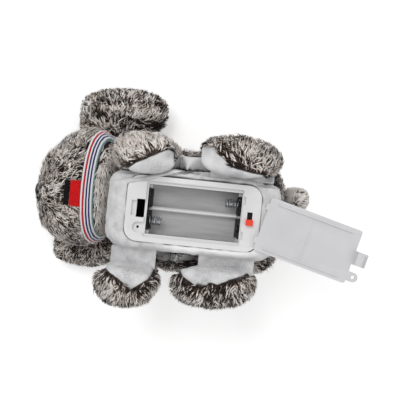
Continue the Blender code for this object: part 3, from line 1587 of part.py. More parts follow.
def head_patch(form, middle_x, half, thickness):
    """A thin piece of cloth that lies on the chin, shaped by the head under it."""
    centre = Vector((middle_x, FACE_Y, PATCH_LEVEL))
    patch = block(centre - half, centre + half)
    patch = booled(patch, swollen(form, GAP + thickness), "INTERSECT")
    return booled(patch, swollen(form, GAP), "DIFFERENCE")


def collar_band(form, inner, outer, more=0.0):
    """A band round the head between two distances from its surface."""
    half = COLLAR_WIDTH / 2 + more
    slice_box = block((-half, -COLLAR_REACH, -COLLAR_REACH), (half, COLLAR_REACH, COLLAR_REACH))
    turn = Matrix.Rotation(-COLLAR_YAW, 4, "Z") @ Matrix.Rotation(-COLLAR_TILT, 4, "Y")
    slice_box = tidy_mesh(slice_box, Matrix.Translation(COLLAR_CENTRE) @ turn)
    band = booled(slice_box, swollen(form, outer), "INTERSECT")
    return booled(band, swollen(form, inner), "DIFFERENCE")


def make_head():
    form = head_form()
    head = part("head_plush", form.copy(), FUR, round_piece=True)
    bore_start = (NECK_ROD_END - GAP, 0, NECK_Z)
    cut(head, rod(NECK_ROD_RADIUS + GAP, bore_start, (BODY_FRONT, 0, NECK_Z)))
    near = swollen(form, GAP)
    tip = on_face(form, FACE_Y, NOSE_Z, NOSE_SINK)
    nose = part("nose", ball(tip, NOSE_HALF), BLACK_PLASTIC, round_piece=True)
    cut(nose, near.copy())
    for side, side_name in ((1, "left"), (-1, "right")):
        centre = on_face(form, FACE_Y + side * EYE_SPREAD, EYE_Z, EYE_SINK)
        eye = ball(centre, (EYE_RADIUS,) * 3)
        eye = part(f"eye_{side_name}", eye, BLACK_PLASTIC, round_piece=True)
        cut(eye, near.copy())
    mouth = head_patch(form, MOUTH_X, MOUTH_HALF, MOUTH_THICKNESS)
    part("mouth_lining", mouth, BLACK_FELT)
    tongue = head_patch(form, TONGUE_X, TONGUE_HALF, TONGUE_THICKNESS)
    tongue = part("tongue", tongue, RED_FELT)
    outer = GAP + COLLAR_THICKNESS
    part("collar_ribbon", collar_band(form, GAP, outer), RIBBON)
    around = collar_band(form, -OVERRUN, outer + GAP, GAP)
    cut(tongue, around.copy())
    ears = (
        ("ear_left", LEFT_EAR_SHARES, LEFT_EAR_LOW, LEFT_EAR_HIGH),
        ("ear_right", RIGHT_EAR_SHARES, RIGHT_EAR_LOW, RIGHT_EAR_HIGH),
    )
    for name, shares, low, high in ears:
        ear = part(name, ear_form(shares, low, high), FUR, round_piece=True)
        cut(ear, near.copy(), around.copy())


def ear_form(shares, low, high):
    size = high - low
    rings = []
    for along, middle, wide, thick in shares:
        rings.append(
            [
                (
                    along * size.x,
                    size.y * (middle + across * wide / 2),
                    up * thick * size.z / 2,
                )
                for across, up in superellipse(EAR_SIDES)
            ]
        )
    return soft_form(rings, low, high)


def make_leads():
    """Soldered leads: each ends just off the face of the piece that it is soldered to."""
    motor = motor_front() - MOTOR_LENGTH - GAP
    magnet = PLATE_REAR - WALL - GAP - SPEAKER_DEPTH - GAP
    board_z = BAY_FLOOR - WALL - BOARD_DROP + BOARD_THICKNESS / 2
    front, rear = BOARD_FRONT - GAP, BOARD_REAR + GAP
    switch = PLATE_UNDER - GAP - SWITCH_HEIGHT - GAP
    speaker_z = speaker_level() + LEAD_START
    for name, finish, start, end, x, y in (
        ("motor_lead_red", RED_LEAD, -0.0225, -0.0100, -0.0180, -0.0140),
        ("motor_lead_black", BLACK_LEAD, -0.0275, -0.0065, -0.0200, -0.0122),
    ):
        side = motor - LEAD_START
        points = [
            (start, motor, DRIVE_Z),
            (start, side, DRIVE_Z + LEAD_START),
            ((start + x) / 2, side, board_z - 2 * LEAD_START),
            (x, y, board_z - LEAD_START / 2),
            (front - LEAD_START, (y + end) / 2, board_z),
            (front, end, board_z),
        ]
        make_lead(name, finish, points)
    for name, finish, y in (
        ("speaker_lead_red", RED_LEAD, LEAD_START),
        ("speaker_lead_black", BLACK_LEAD, -LEAD_START),
    ):
        points = [
            (magnet, y, speaker_z),
            (magnet - LEAD_START, y, speaker_z + LEAD_START),
            (rear + LEAD_START, y * 1.3, board_z - LEAD_START),
            (rear, y * 1.3, board_z),
        ]
        make_lead(name, finish, points)
    points = [
        (SWITCH_X, -2 * LEAD_START, switch),
        (SWITCH_X - LEAD_START / 2, -2 * LEAD_START, BAY_FLOOR),
        (BAY_HALF_LENGTH, -2.5 * LEAD_START, BAY_FLOOR - WALL - LEAD_START),
        (rear + LEAD_START / 2, -3 * LEAD_START, board_z + LEAD_RADIUS),
        (rear, -3 * LEAD_START, board_z),
    ]
    make_lead("switch_lead", BLACK_LEAD, points)


def make_lead(name, finish, points):
    part(name, tube(smooth_route(points, LEAD_SMOOTHING), LEAD_RADIUS, 1), finish)


def main():
    clear_scene()
    new_collection(PARTS_NAME)
    new_collection(CUTTERS_NAME).hide_render = True
    make_battery_housing()
    make_contacts()
    make_switch()
    make_door()
    make_tray()
    make_chassis_screws()
    make_motor()
    make_compound_gear("first_gear", FIRST_X, OUTER_PLANE, MIDDLE_PLANE)
    make_compound_gear("second_gear", SECOND_X, MIDDLE_PLANE, INNER_PLANE)
    make_crank()
    make_rockers_and_legs()
    make_side_links()
    make_electronics()
    make_neck()
    make_tail()
    make_body()
    make_belly_panel()
    make_head()
    make_leads()


main()
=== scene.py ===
"""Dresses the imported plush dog: fur, white plush, ribbon, felt, plastic and metal."""
import math

import bmesh
import bpy
import numpy as np
from mathutils import Matrix, Vector
from mathutils.bvhtree import BVHTree
from mathutils.kdtree import KDTree


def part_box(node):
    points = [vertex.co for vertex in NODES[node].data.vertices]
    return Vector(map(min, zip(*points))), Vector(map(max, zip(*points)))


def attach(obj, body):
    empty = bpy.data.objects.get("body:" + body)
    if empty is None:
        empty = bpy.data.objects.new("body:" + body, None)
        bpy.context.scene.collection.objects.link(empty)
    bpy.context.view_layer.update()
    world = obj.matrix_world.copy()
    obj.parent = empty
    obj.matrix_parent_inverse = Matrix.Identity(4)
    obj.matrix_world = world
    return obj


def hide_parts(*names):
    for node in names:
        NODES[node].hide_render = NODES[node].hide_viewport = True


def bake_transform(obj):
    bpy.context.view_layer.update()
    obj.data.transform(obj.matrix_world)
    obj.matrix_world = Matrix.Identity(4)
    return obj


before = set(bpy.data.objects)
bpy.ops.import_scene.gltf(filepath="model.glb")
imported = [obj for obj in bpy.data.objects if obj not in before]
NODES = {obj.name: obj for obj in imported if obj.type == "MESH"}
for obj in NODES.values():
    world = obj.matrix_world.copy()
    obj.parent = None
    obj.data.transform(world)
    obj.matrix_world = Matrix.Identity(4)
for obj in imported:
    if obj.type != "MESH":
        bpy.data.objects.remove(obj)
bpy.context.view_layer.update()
MM = 0.001

# The photograph's own frame: picture points to places in metres, and the camera that sees them
PICTURE_MIDDLE = (193.75, 213.4)
PICTURE_STEP = 0.6 * MM
PICTURE_TURN = math.radians(5.85)
CAMERA_PLACE = Vector((2.9 * MM, 8.4 * MM, 552 * MM))
PLATE_LEVEL = 72 * MM
LENS = 72
SENSOR = 36

# Outlines of the white cloth, in picture points
BODY_WHITE = ((105, 200), (108, 187), (120, 174), (172, 150), (190, 154), (209, 156), (240, 168), (272, 177),
              (281, 195), (288, 215), (286, 245), (268, 257), (222, 257), (196, 260), (177, 262), (157, 260),
              (156, 252), (110, 247), (105, 240))
LEG_WHITE = {
    "front_left": ((121, 176), (134, 164), (158, 154), (170, 149), (176, 152), (178, 215), (121, 215)),
    "rear_left": ((208, 143), (214, 146), (222, 157), (232, 168), (248, 173), (271, 180), (282, 197),
                  (282, 215), (196, 215), (200, 143)),
    "front_right": ((100, 259), (114, 247), (155, 247), (154, 269), (149, 279), (130, 291), (110, 272)),
    "rear_right": ((176, 261), (190, 254), (222, 246), (268, 246), (269, 256), (261, 265), (238, 276),
                   (212, 288), (195, 286), (182, 276)),
}
# Places of painted light on the white cloth, between the legs where shade falls: middle and reach, in picture
# points
PAINTED_LIGHT_PLACES = (((190, 165), (27, 12)), ((182, 253), (30, 11)), ((226, 250), (46, 8)))
# Rubbed, mottled places of the white cloth: middle and reach, in picture points
RUBBED = (((195, 168), (14, 6)), ((131, 272), (17, 10)), ((222, 268), (30, 6)), ((160, 168), (12, 6)))
# Darker and paler lines of the fur, partly its own colour and partly painted shade: line in picture points,
# reach in picture points, change of tone
FUR_TONE_AND_SHADE_LINES = (
    (((102, 112), (112, 116), (123, 119), (140, 118), (155, 118), (166, 121)), 1.9, 0.6),
    # Painted shadow where the left ear meets the head
    (((98, 119), (112, 124), (130, 126), (150, 127), (163, 128)), 3.0, -0.7),
    (((94, 107), (115, 110), (140, 108), (160, 111)), 3.6, -0.3),
    (((84, 99), (100, 92), (125, 89), (150, 93), (166, 103)), 4.5, -0.2),
    (((121, 172), (134, 166), (147, 159)), 3.5, -0.35),
    (((226, 152), (232, 160), (240, 168)), 5.0, -0.3),
    (((184, 279), (205, 288), (230, 284)), 4.0, -0.25),
    (((66, 236), (78, 240), (90, 247)), 4.0, -0.4),
    # Painted shade in the cleft beside the mouth
    (((62, 176), (60, 194), (64, 212)), 4.0, -0.25),
)
# How much paler or darker the fur of each leg is
LEG_TONE = {"front_left": 0.24, "rear_left": -0.08, "front_right": -0.06, "rear_right": -0.1}
# The fold of cloth that lies over the plate's rim: points and half width, in picture points
RIM_FOLD = ((115, 182.5, 1.2), (119, 181.5, 2.6), (124, 181, 3.1), (130, 180.5, 3.1), (140, 179.6, 2.6),
            (147, 178, 2.2), (155, 176.8, 2.2), (165, 174.2, 2.0), (174, 171.8, 1.8), (182, 171, 1.2))
# Its middle above the plate, and how high it rises for one picture point of half width
RIM_FOLD_LIFT = 0.3 * MM
RIM_FOLD_RISE = 0.5 * MM
# Where the fur of each leg is brushed away from, in mm
LEG_CENTRE = {
    "front_left": (-20, 20, 74),
    "rear_left": (22, 16, 68),
    "front_right": (-36, -33, 72),
    "rear_right": (20, -28, 72),
}
# How far the right legs are turned out at rest
RIGHT_SPLAY = {"front_right": math.radians(22), "rear_right": math.radians(14)}
# Pile of the left legs (1) and the right legs (-1): length, lift and turn
LEG_PILE = {1: (7.0 * MM, 0.5, 0.6), -1: (5.6 * MM, 0.36, 0.5)}

# The battery bay: its middle to the dark end strips, to the retainers beside them, and half its divider
BAY_END = 25.7 * MM
BAY_RETAINER = 12.4 * MM
BAY_DIVIDER = (0.7 * MM, 0.9 * MM)
# Cloth behind the legs: along, across from the middle, and up, in mm
SIDE_CLOTH = (((-40, 40), (20.4, 21.6), (49.5, 62.5)), ((-21, 17), (24.7, 25.9), (24, 54)),
              ((-21, 17), (20.4, 25.9), (52, 54)))
# The height above which that cloth is white
SIDE_CLOTH_WHITE = 50.5 * MM
# The hip joints along the body, in mm
HIP_PLACE = {"front": -31.5, "rear": 30}
# Gussets: leg, start across and up, end up, half width and shift, in mm
GUSSETS = (("front_left", 22.5, 66, 63, 15.5, -1), ("rear_left", 22.5, 67, 65, 19.5, -3),
           ("front_right", 24, 63.5, 62, 15.5, -1), ("rear_right", 24, 63.5, 62, 20, -4.5))

# The collar: its own frame, its width, and how much of each edge the fur covers
COLLAR_CENTRE = Vector((-56, 7.6, 30.5)) * MM
COLLAR_TURN = Matrix.Rotation(math.radians(-20), 4, "Y")
COLLAR_FRAME = Matrix.Translation(COLLAR_CENTRE) @ COLLAR_TURN
COLLAR_WIDTH = 6.6 * MM
COLLAR_HIDDEN = 0.7 * MM

# Values of the attribute "pale", which is under 0 where the pile is fur and over 0 where it is white plush
ALL_FUR = -3.0
ALL_WHITE = 3.0
FUR_LIMIT = -0.15
# How sharply the white plush ends where the skin turns away, and which way that is on the left legs
WHITE_EDGE = 8
INWARD_LEFT = np.array((0, -0.6, 0.8))

# Strands of the fur: half width, curl, pull toward the first strand of a tuft, and strands in a tuft
STRAND_WIDTH = 0.36 * MM
STRAND_CURL = 0.8
STRAND_CLUMP = 0.6
STRAND_TUFT = 5
# The lowest height of a strand's line and of its surface, and how deep its root is in the skin
STRAND_FLOOR = 0.5 * MM
STRAND_LOWEST = 0.1 * MM
STRAND_ROOT = 0.4 * MM
# Shares of a strand's length at its root, its middle and its tip, and how thick it is there
STRAND_LEVELS = (0.0, 0.55, 1.0)
STRAND_THICK = (0.75, 1.0, 0.0)
# Vertices of one strand's faces: sides, and then tip and root
STRAND_QUADS = ((1, 4, 3, 0), (2, 5, 4, 1), (0, 3, 5, 2))
STRAND_TIPS = ((4, 6, 3), (5, 6, 4), (3, 6, 5), (2, 1, 0))

# Room that the fur leaves free round pieces of the head, in mm: toward low x, y and z, and toward high
HEAD_ROOM = {
    "nose": ((6, 0, 0), (0.5, 0, 6)),
    "mouth_lining": ((0.5, 0, 0), (0, 0, 9)),
    "tongue": ((0, 0, 0), (0.5, 0, 9)),
    "eye_left": ((4, 0.5, 0.5), (0, 0.5, 0.5)),
    "eye_right": ((4, 0.5, 0.5), (0, 0.5, 0.5)),
}

# The studio: how much the white world lights, and the floor's half width, level and glow
WORLD_LIGHT = 0.5
FLOOR_HALF = 2.0
FLOOR_LEVEL = -0.05 * MM
FLOOR_GLOW = 0.35


def linear(red, green, blue):
    """A colour written as it looks on a screen, 0 to 255, as the shader wants it."""
    out = []
    for share in (red / 255, green / 255, blue / 255):
        out.append(share / 12.92 if share <= 0.04045 else ((share + 0.055) / 1.055) ** 2.4)
    return (*out, 1.0)


class Look:
    """A material with one surface shader, and short ways to add nodes to it."""

    def __init__(self, name, roughness=0.6, specular=0.4, **fixed):
        self.made = bpy.data.materials.new(name)
        self.made.use_nodes = True
        self.tree = self.made.node_tree
        self.shader = self.tree.nodes["Principled BSDF"]
        self.shader.inputs["Roughness"].default_value = roughness
        self.shader.inputs["Specular IOR Level"].default_value = specular
        for key, value in fixed.items():
            self.shader.inputs[key.replace("_", " ")].default_value = value
        self.place = self.add("ShaderNodeTexCoord").outputs["Object"]

    def add(self, kind, **settings):
        node = self.tree.nodes.new(kind)
        for key, value in settings.items():
            setattr(node, key, value)
        return node

    def put(self, socket, value):
        if isinstance(value, bpy.types.NodeSocket):
            self.tree.links.new(value, socket)
        else:
            socket.default_value = value

    def noise(self, scale, detail=3.0, rough=0.5, stretch=(1, 1, 1)):
        node = self.add("ShaderNodeTexNoise")
        spread = self.add("ShaderNodeMapping")
        self.put(spread.inputs["Vector"], self.place)
        spread.inputs["Scale"].default_value = stretch
        self.put(node.inputs["Vector"], spread.outputs[0])
        node.inputs["Scale"].default_value = scale
        node.inputs["Detail"].default_value = detail
        node.inputs["Roughness"].default_value = rough
        return node.outputs["Fac"]

    def range(self, value, low, high, to_low, to_high):
        node = self.add("ShaderNodeMapRange", clamp=True)
        self.put(node.inputs["Value"], value)
        for key, number in (("From Min", low), ("From Max", high), ("To Min", to_low), ("To Max", to_high)):
            self.put(node.inputs[key], number)
        return node.outputs["Result"]

    def calc(self, kind, a, b=0.0):
        node = self.add("ShaderNodeMath", operation=kind)
        self.put(node.inputs[0], a)
        self.put(node.inputs[1], b)
        return node.outputs[0]

    def mix(self, share, a, b, kind="MIX"):
        node = self.add("ShaderNodeMix", data_type="RGBA", blend_type=kind)
        self.put(node.inputs[0], share)
        self.put(node.inputs[6], a)
        self.put(node.inputs[7], b)
        return node.outputs[2]

    def ramp(self, value, stops, how="LINEAR"):
        node = self.add("ShaderNodeValToRGB")
        band = node.color_ramp
        band.interpolation = how
        while len(band.elements) < len(stops):
            band.elements.new(0.5)
        for element, (at, colour) in zip(band.elements, stops):
            element.position = at
            element.color = linear(*colour)
        self.put(node.inputs[0], value)
        return node.outputs[0]

    def attribute(self, name):
        return self.add("ShaderNodeAttribute", attribute_name=name).outputs["Fac"]

    def bump(self, height, distance, strength=1.0):
        node = self.add("ShaderNodeBump")
        node.inputs["Distance"].default_value = distance
        node.inputs["Strength"].default_value = strength
        self.put(node.inputs["Height"], height)
        self.put(self.shader.inputs["Normal"], node.outputs[0])

    def colour(self, value):
        self.put(self.shader.inputs["Base Color"], value)

    def rough(self, value):
        self.put(self.shader.inputs["Roughness"], value)


def fur_look(name, stops):
    look = Look(name, 0.8, 0.18)
    look.shader.inputs["Sheen Weight"].default_value = 0.15
    base = look.ramp(look.attribute("shade"), stops)
    warm = look.noise(90, 2.0)
    look.colour(look.mix(look.range(warm, 0.35, 0.65, 0.0, 0.35), base, linear(216, 200, 188), "MULTIPLY"))
    look.rough(look.range(look.noise(400), 0.3, 0.7, 0.7, 0.92))
    return look.made


def plush_look(name, backing):
    """White short-pile plush, and the fur's woven backing where the pelt covers it."""
    look = Look(name, 0.92, 0.12)
    look.shader.inputs["Sheen Weight"].default_value = 0.25
    pile = look.noise(1500, 4.0, 0.65)
    mottled = look.noise(150, 4.0, 0.6)
    blotch = look.range(look.noise(38, 2.0, 0.5), 0.4, 0.7, 0.0, 0.35)
    shade = look.calc("ADD", look.range(mottled, 0.35, 0.7, 0.0, 0.55), blotch)
    white = look.ramp(shade, ((0.0, (236, 236, 236)), (0.5, (216, 216, 217)), (1.0, (176, 176, 179))))
    white = look.mix(look.range(pile, 0.35, 0.7, 0.0, 0.25), white, linear(170, 170, 176), "MULTIPLY")
    # Painted light: the white cloth is brightened toward near white in the shaded hollows between the legs.
    white = look.mix(look.calc("MULTIPLY", look.attribute("painted_light"), 0.9), white, linear(252, 252, 252))
    speck = look.range(look.noise(1100, 4.0, 0.7), 0.44, 0.6, 0.0, 1.0)
    rubbed = look.calc("MULTIPLY", look.attribute("rubbed"), speck)
    white = look.mix(look.calc("MULTIPLY", rubbed, 0.4), white, linear(104, 104, 108))
    dark = look.ramp(look.noise(700, 3.0), ((0.3, backing), (0.7, tuple(c + 34 for c in backing))))
    seam = look.calc("ADD", look.attribute("pale"), look.range(look.noise(420, 2.0), 0, 1, -0.4, 0.4))
    where = look.range(seam, -0.25, 0.25, 0.0, 1.0)
    look.colour(look.mix(where, dark, white))
    look.rough(look.range(mottled, 0.3, 0.7, 0.85, 0.98))
    height = look.calc("ADD", pile, look.calc("MULTIPLY", mottled, 1.4))
    look.bump(height, 0.35 * MM, 0.55)
    return look.made


def moulded(name, colour, low, high, grain=1800, depth=0.03, deep=None):
    """Injection-moulded plastic: faint mottling, fine grain, rubbed corners.

    deep gives a level and the colour of the battery bay below it.
    """
    look = Look(name, low, 0.45)
    cloud = look.noise(60, 3.0)
    tint = tuple(max(c - 10, 0) for c in colour)
    base = look.ramp(cloud, ((0.3, tint), (0.7, colour)))
    if deep:
        at, shade = deep
        parts = look.add("ShaderNodeSeparateXYZ")
        look.put(parts.inputs[0], look.place)
        streak = look.noise(160, 3.0, 0.6, (0.25, 2.0, 1.0))
        floor = look.ramp(streak, ((0.3, tuple(c - 14 for c in shade)), (0.7, tuple(c + 8 for c in shade))))
        along = look.calc("ABSOLUTE", parts.outputs[0])
        aside = look.calc("ABSOLUTE", parts.outputs[1])
        end = look.range(along, BAY_END, BAY_END + 0.4 * MM, 0.0, 1.0)
        held = look.range(aside, BAY_RETAINER, BAY_RETAINER + 0.3 * MM, 1.0, 0.0)
        floor = look.mix(look.calc("MULTIPLY", end, held), floor, linear(9, 9, 10))
        under = look.range(parts.outputs[2], at, at - 0.6 * MM, 0.0, 1.0)
        open_floor = look.range(aside, *BAY_DIVIDER, 0.0, 1.0)
        base = look.mix(look.calc("MULTIPLY", under, open_floor), base, floor)
    edge = look.add("ShaderNodeNewGeometry").outputs["Pointiness"]
    rubbed = look.range(edge, 0.5, 0.6, 0.0, 0.25)
    look.colour(look.mix(rubbed, base, linear(*(min(c + 22, 255) for c in colour))))
    look.rough(look.range(look.noise(240, 3.0), 0.3, 0.7, low, high))
    look.bump(look.noise(grain, 2.0), depth * MM, 0.5)
    return look.made


def metal(name, colour, low, high):
    look = Look(name, low, 0.5, Metallic=1.0)
    line = look.noise(500, 3.0, 0.6, (1, 12, 1))
    look.colour(look.ramp(line, ((0.25, tuple(int(c * 0.72) for c in colour)), (0.75, colour))))
    look.rough(look.range(look.noise(260, 3.0), 0.3, 0.7, low, high))
    look.bump(line, 0.02 * MM, 0.5)
    return look.made


def felt(name, colour):
    look = Look(name, 0.95, 0.1)
    look.shader.inputs["Sheen Weight"].default_value = 0.2
    hair = look.noise(900, 5.0, 0.7, (1, 0.4, 1))
    cloud = look.noise(220, 3.0)
    base = look.ramp(hair, ((0.3, tuple(int(c * 0.72) for c in colour)), (0.68, colour)))
    worn = linear(*(int(c * 0.8) for c in colour))
    look.colour(look.mix(look.range(cloud, 0.35, 0.7, 0.0, 0.3), base, worn))
    look.rough(look.range(cloud, 0.3, 0.7, 0.88, 1.0))
    look.bump(hair, 0.2 * MM, 0.6)
    return look.made


def ribbon_look(name):
    """Woven stripes by the distance across the band, with ribs that run across it."""
    look = Look(name, 0.55, 0.3)
    look.shader.inputs["Sheen Weight"].default_value = 0.2
    across = look.attribute("across")
    white, red, navy, edge = (238, 238, 240), (186, 20, 34), (30, 26, 92), (120, 150, 150)
    stops = ((0.0, white), (0.14, red), (0.31, white), (0.42, navy), (0.56, white), (0.66, navy),
             (0.79, white), (0.92, edge))
    base = look.ramp(across, stops, "CONSTANT")
    ribs = look.calc("SINE", look.calc("MULTIPLY", look.attribute("around"), 2 * math.pi / (0.55 * MM)))
    look.colour(look.mix(look.range(ribs, -1, 1, 0.25, 0.0), base, linear(150, 150, 160), "MULTIPLY"))
    look.rough(look.range(look.noise(500), 0.3, 0.7, 0.45, 0.7))
    look.bump(ribs, 0.08 * MM, 0.7)
    return look.made


FUR_STOPS = ((0.0, (20, 14, 11)), (0.3, (50, 38, 32)), (0.48, (118, 104, 95)), (0.64, (222, 212, 205)),
             (1.0, (255, 252, 248)))
FUR = fur_look("fur_pile", FUR_STOPS)
PLUSH = plush_look("plush_cloth", (44, 37, 36))
LOOKS = {
    "plastic": moulded("plastic_white", (227, 227, 227), 0.32, 0.46, deep=(69.5 * MM, (178, 178, 179))),
    "tray_plastic": moulded("plastic_tray", (96, 98, 104), 0.4, 0.55),
    "cover_plastic": moulded("plastic_frosted", (212, 212, 214), 0.42, 0.6, grain=2600, depth=0.05),
    "nylon": moulded("nylon_gears", (226, 222, 206), 0.35, 0.5),
    "black_plastic": moulded("plastic_black", (26, 26, 28), 0.3, 0.5, grain=1400, depth=0.06),
    "board": moulded("board_green", (34, 92, 58), 0.35, 0.5),
    "knob_red": moulded("plastic_red", (236, 62, 36), 0.3, 0.42),
    "steel": metal("metal_steel", (176, 178, 182), 0.25, 0.42),
    # Painted reflection: the nickel contacts and springs get a near-black colour standing in for the dark
    # that they reflect.
    "nickel": metal("metal_nickel_painted_dark", (36, 35, 35), 0.18, 0.34),
    "brass": metal("metal_brass", (196, 164, 92), 0.25, 0.42),
    "red_lead": moulded("lead_red", (196, 30, 30), 0.4, 0.55),
    "black_lead": moulded("lead_black", (28, 28, 30), 0.4, 0.55),
}
RED_FELT = felt("felt_red", (228, 24, 28))
BLACK_FELT = felt("felt_black", (14, 11, 12))
RIBBON = ribbon_look("ribbon_woven")


def carry_over():
    """Gives each CAD node that stays its detailed material."""
    for node in NODES.values():
        for slot in node.material_slots:
            name = slot.material.name.split(".")[0] if slot.material else ""
            if name in LOOKS:
                slot.material = LOOKS[name]


def coat(mesh, material):
    mesh.materials.clear()
    mesh.materials.append(material)


def placed(name, mesh, material):
    obj = bpy.data.objects.new(name, mesh)
    bpy.context.scene.collection.objects.link(obj)
    coat(mesh, material)
    return obj


def worked(obj, *modifiers):
    """Puts these modifiers on, and keeps what they make as the piece's own mesh, with its material."""
    for kind, settings in modifiers:
        made = obj.modifiers.new(kind, kind)
        for key, value in settings.items():
            setattr(made, key, value)
    graph = bpy.context.evaluated_depsgraph_get()
    mesh = bpy.data.meshes.new_from_object(obj.evaluated_get(graph), depsgraph=graph)
    obj.modifiers.clear()
    old = obj.data
    obj.data = mesh
    coat(mesh, old.materials[0])
    bpy.data.meshes.remove(old)


def refined(obj, voxel, factor, rounds):
    """Makes a piece an even, fine mesh with its edges rounded off."""
    worked(obj, ("REMESH", {"mode": "VOXEL", "voxel_size": voxel}),
           ("SMOOTH", {"factor": factor, "iterations": rounds}))


def points_of(mesh, what="co"):
    out = np.empty(len(mesh.vertices) * 3)
    mesh.vertices.foreach_get(what, out)
    return out.reshape(-1, 3)


def move_points(mesh, points):
    mesh.vertices.foreach_set("co", np.ascontiguousarray(points, np.float32).ravel())
    mesh.update()


def attribute(mesh, name, values):
    made = mesh.attributes.get(name) or mesh.attributes.new(name, "FLOAT", "POINT")
    made.data.foreach_set("value", np.ascontiguousarray(values, np.float32))


def even(mesh, value):
    """The same value for every point of a mesh."""
    return np.full(len(mesh.vertices), value)


def smooth(mesh):
    mesh.polygons.foreach_set("use_smooth", np.ones(len(mesh.polygons), bool))
    mesh.update()


def waves(points, scale, seed, count=5):
    """A smooth field from about -1 to 1 that changes over scale metres."""
    draw = np.random.default_rng(seed)
    total = np.zeros(len(points))
    for _ in range(count):
        way = draw.normal(size=3)
        way *= draw.uniform(0.7, 1.4) * 2 * math.pi / scale / np.linalg.norm(way)
        total += np.sin(points @ way + draw.uniform(0, 2 * math.pi))
    return total / math.sqrt(count)


def in_picture(points):
    """Where the camera sees these places, in picture points."""
    middle = np.array(CAMERA_PLACE[:2])
    grow = (CAMERA_PLACE.z - PLATE_LEVEL) / (CAMERA_PLACE.z - points[:, 2])
    flat = middle + (points[:, :2] - middle) * grow[:, None]
    c, s = math.cos(PICTURE_TURN), math.sin(PICTURE_TURN)
    right = (c * flat[:, 0] + s * flat[:, 1]) / PICTURE_STEP + PICTURE_MIDDLE[0]
    down = (s * flat[:, 0] - c * flat[:, 1]) / PICTURE_STEP + PICTURE_MIDDLE[1]
    return np.stack((right, down), 1)


def in_space(spot, level):
    """The place at that level that the camera sees at a picture point."""
    right, down = (spot[0] - PICTURE_MIDDLE[0]) * PICTURE_STEP, (spot[1] - PICTURE_MIDDLE[1]) * PICTURE_STEP
    c, s = math.cos(PICTURE_TURN), math.sin(PICTURE_TURN)
    shrink = (CAMERA_PLACE.z - level) / (CAMERA_PLACE.z - PLATE_LEVEL)
    x, y = c * right + s * down, s * right - c * down
    x, y = CAMERA_PLACE.x + (x - CAMERA_PLACE.x) * shrink, CAMERA_PLACE.y + (y - CAMERA_PLACE.y) * shrink
    return Vector((x, y, level))


def from_run(spots, a, b):
    """Distance of each spot from the straight line between two corners."""
    run = b - a
    share = np.clip(((spots - a) @ run) / (run @ run), 0, 1)
    return np.linalg.norm(spots - a - share[:, None] * run, axis=1)


def fold_tone_and_shade(roots):
    """Darker and paler lines of the fur, partly its own colour and partly painted shade, by how near its
    roots are to each line.
    """
    spots = in_picture(roots)
    out = np.zeros(len(roots))
    for line, reach, amount in FUR_TONE_AND_SHADE_LINES:
        corners = np.array(line, float)
        least = np.full(len(roots), 1e9)
        for a, b in zip(corners, corners[1:]):
            least = np.minimum(least, from_run(spots, a, b))
        out += amount * np.exp(-(least / reach) ** 2)
    return out


def inside(spots, outline):
    """Distance of each spot inside an outline, in millimetres at the plate, and negative outside it."""
    corners = np.array(outline, float)
    ends = np.roll(corners, -1, 0)
    least = np.full(len(spots), 1e9)
    within = np.zeros(len(spots), bool)
    for a, b in zip(corners, ends):
        least = np.minimum(least, from_run(spots, a, b))
        run = b - a
        if run[1] != 0:
            crosses = (a[1] > spots[:, 1]) != (b[1] > spots[:, 1])
            within ^= crosses & (spots[:, 0] < run[0] * (spots[:, 1] - a[1]) / run[1] + a[0])
    return np.where(within, least, -least) * PICTURE_STEP / MM


def mark_wear_and_painted_light(mesh):
    """Where the white cloth is rubbed, and where it gets painted light, by places in the picture."""
    spots = in_picture(points_of(mesh))
    for name, places in (("rubbed", RUBBED), ("painted_light", PAINTED_LIGHT_PLACES)):
        out = np.zeros(len(spots))
        for middle, reach in places:
            far = (((spots - np.array(middle)) / np.array(reach)) ** 2).sum(1)
            out = np.maximum(out, np.clip(1.15 - far, 0, 1))
        attribute(mesh, name, out)


def skin(node, name, body, voxel, rounds, wrinkle=0.0, seed=1, more=()):
    """The cloth of a plush piece: the CAD form with any further forms, rounded off, as a fine mesh."""
    obj = placed(name, NODES[node].data.copy(), PLUSH)
    for form in more:
        add_form(obj.data, *form)
    refined(obj, voxel, 0.6, rounds)
    if wrinkle:
        points, normals = points_of(obj.data), points_of(obj.data, "normal")
        height = waves(points, 14 * MM, seed) * 0.6 + waves(points, 6 * MM, seed + 1) * 0.4
        move_points(obj.data, points + normals * (height * wrinkle)[:, None])
    smooth(obj.data)
    mark_wear_and_painted_light(obj.data)
    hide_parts(node)
    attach(obj, body)
    return obj


def sink(cloth, pale, furred, bare=0.5 * MM):
    """Moves the cloth in by the room that the pile takes, less where it is short white plush."""
    points, normals = points_of(cloth.data), points_of(cloth.data, "normal")
    share = np.clip(pale / 3 + 0.5, 0, 1)
    share = share * share * (3 - 2 * share)
    move_points(cloth.data, points - normals * (furred + (bare - furred) * share)[:, None])
    attribute(cloth.data, "pale", pale)


def triangles_of(mesh):
    mesh.calc_loop_triangles()
    out = np.empty(len(mesh.loop_triangles) * 3, np.int32)
    mesh.loop_triangles.foreach_get("vertices", out)
    return out.reshape(-1, 3)


def tree_of(obj):
    points, faces = points_of(obj.data), triangles_of(obj.data)
    return BVHTree.FromPolygons([tuple(p) for p in points], [tuple(f) for f in faces.tolist()])


def unblocked(centres, normals, tree, reach, start=1.2 * MM):
    """True where a straight look outward meets nothing of that tree."""
    out = np.ones(len(centres), bool)
    for i, (p, n) in enumerate(zip(centres, normals)):
        away = Vector(n)
        out[i] = tree.ray_cast(Vector(p) + away * start, away, reach)[0] is None
    return out


def unit(rows):
    return rows / np.maximum(np.linalg.norm(rows, axis=1), 1e-12)[:, None]


def flat_to(rows, normals):
    return rows - normals * (rows * normals).sum(1)[:, None]


# Filled while the pieces are dressed: places that the fur leaves free, and the skin of each leg
CLEARINGS = []
LEG_SKINS = {}


def in_collar(points):
    """These places in the collar's own frame: x across its band, z from its middle toward the throat."""
    back = np.array(COLLAR_FRAME.inverted())
    return points @ back[:3, :3].T + back[:3, 3]


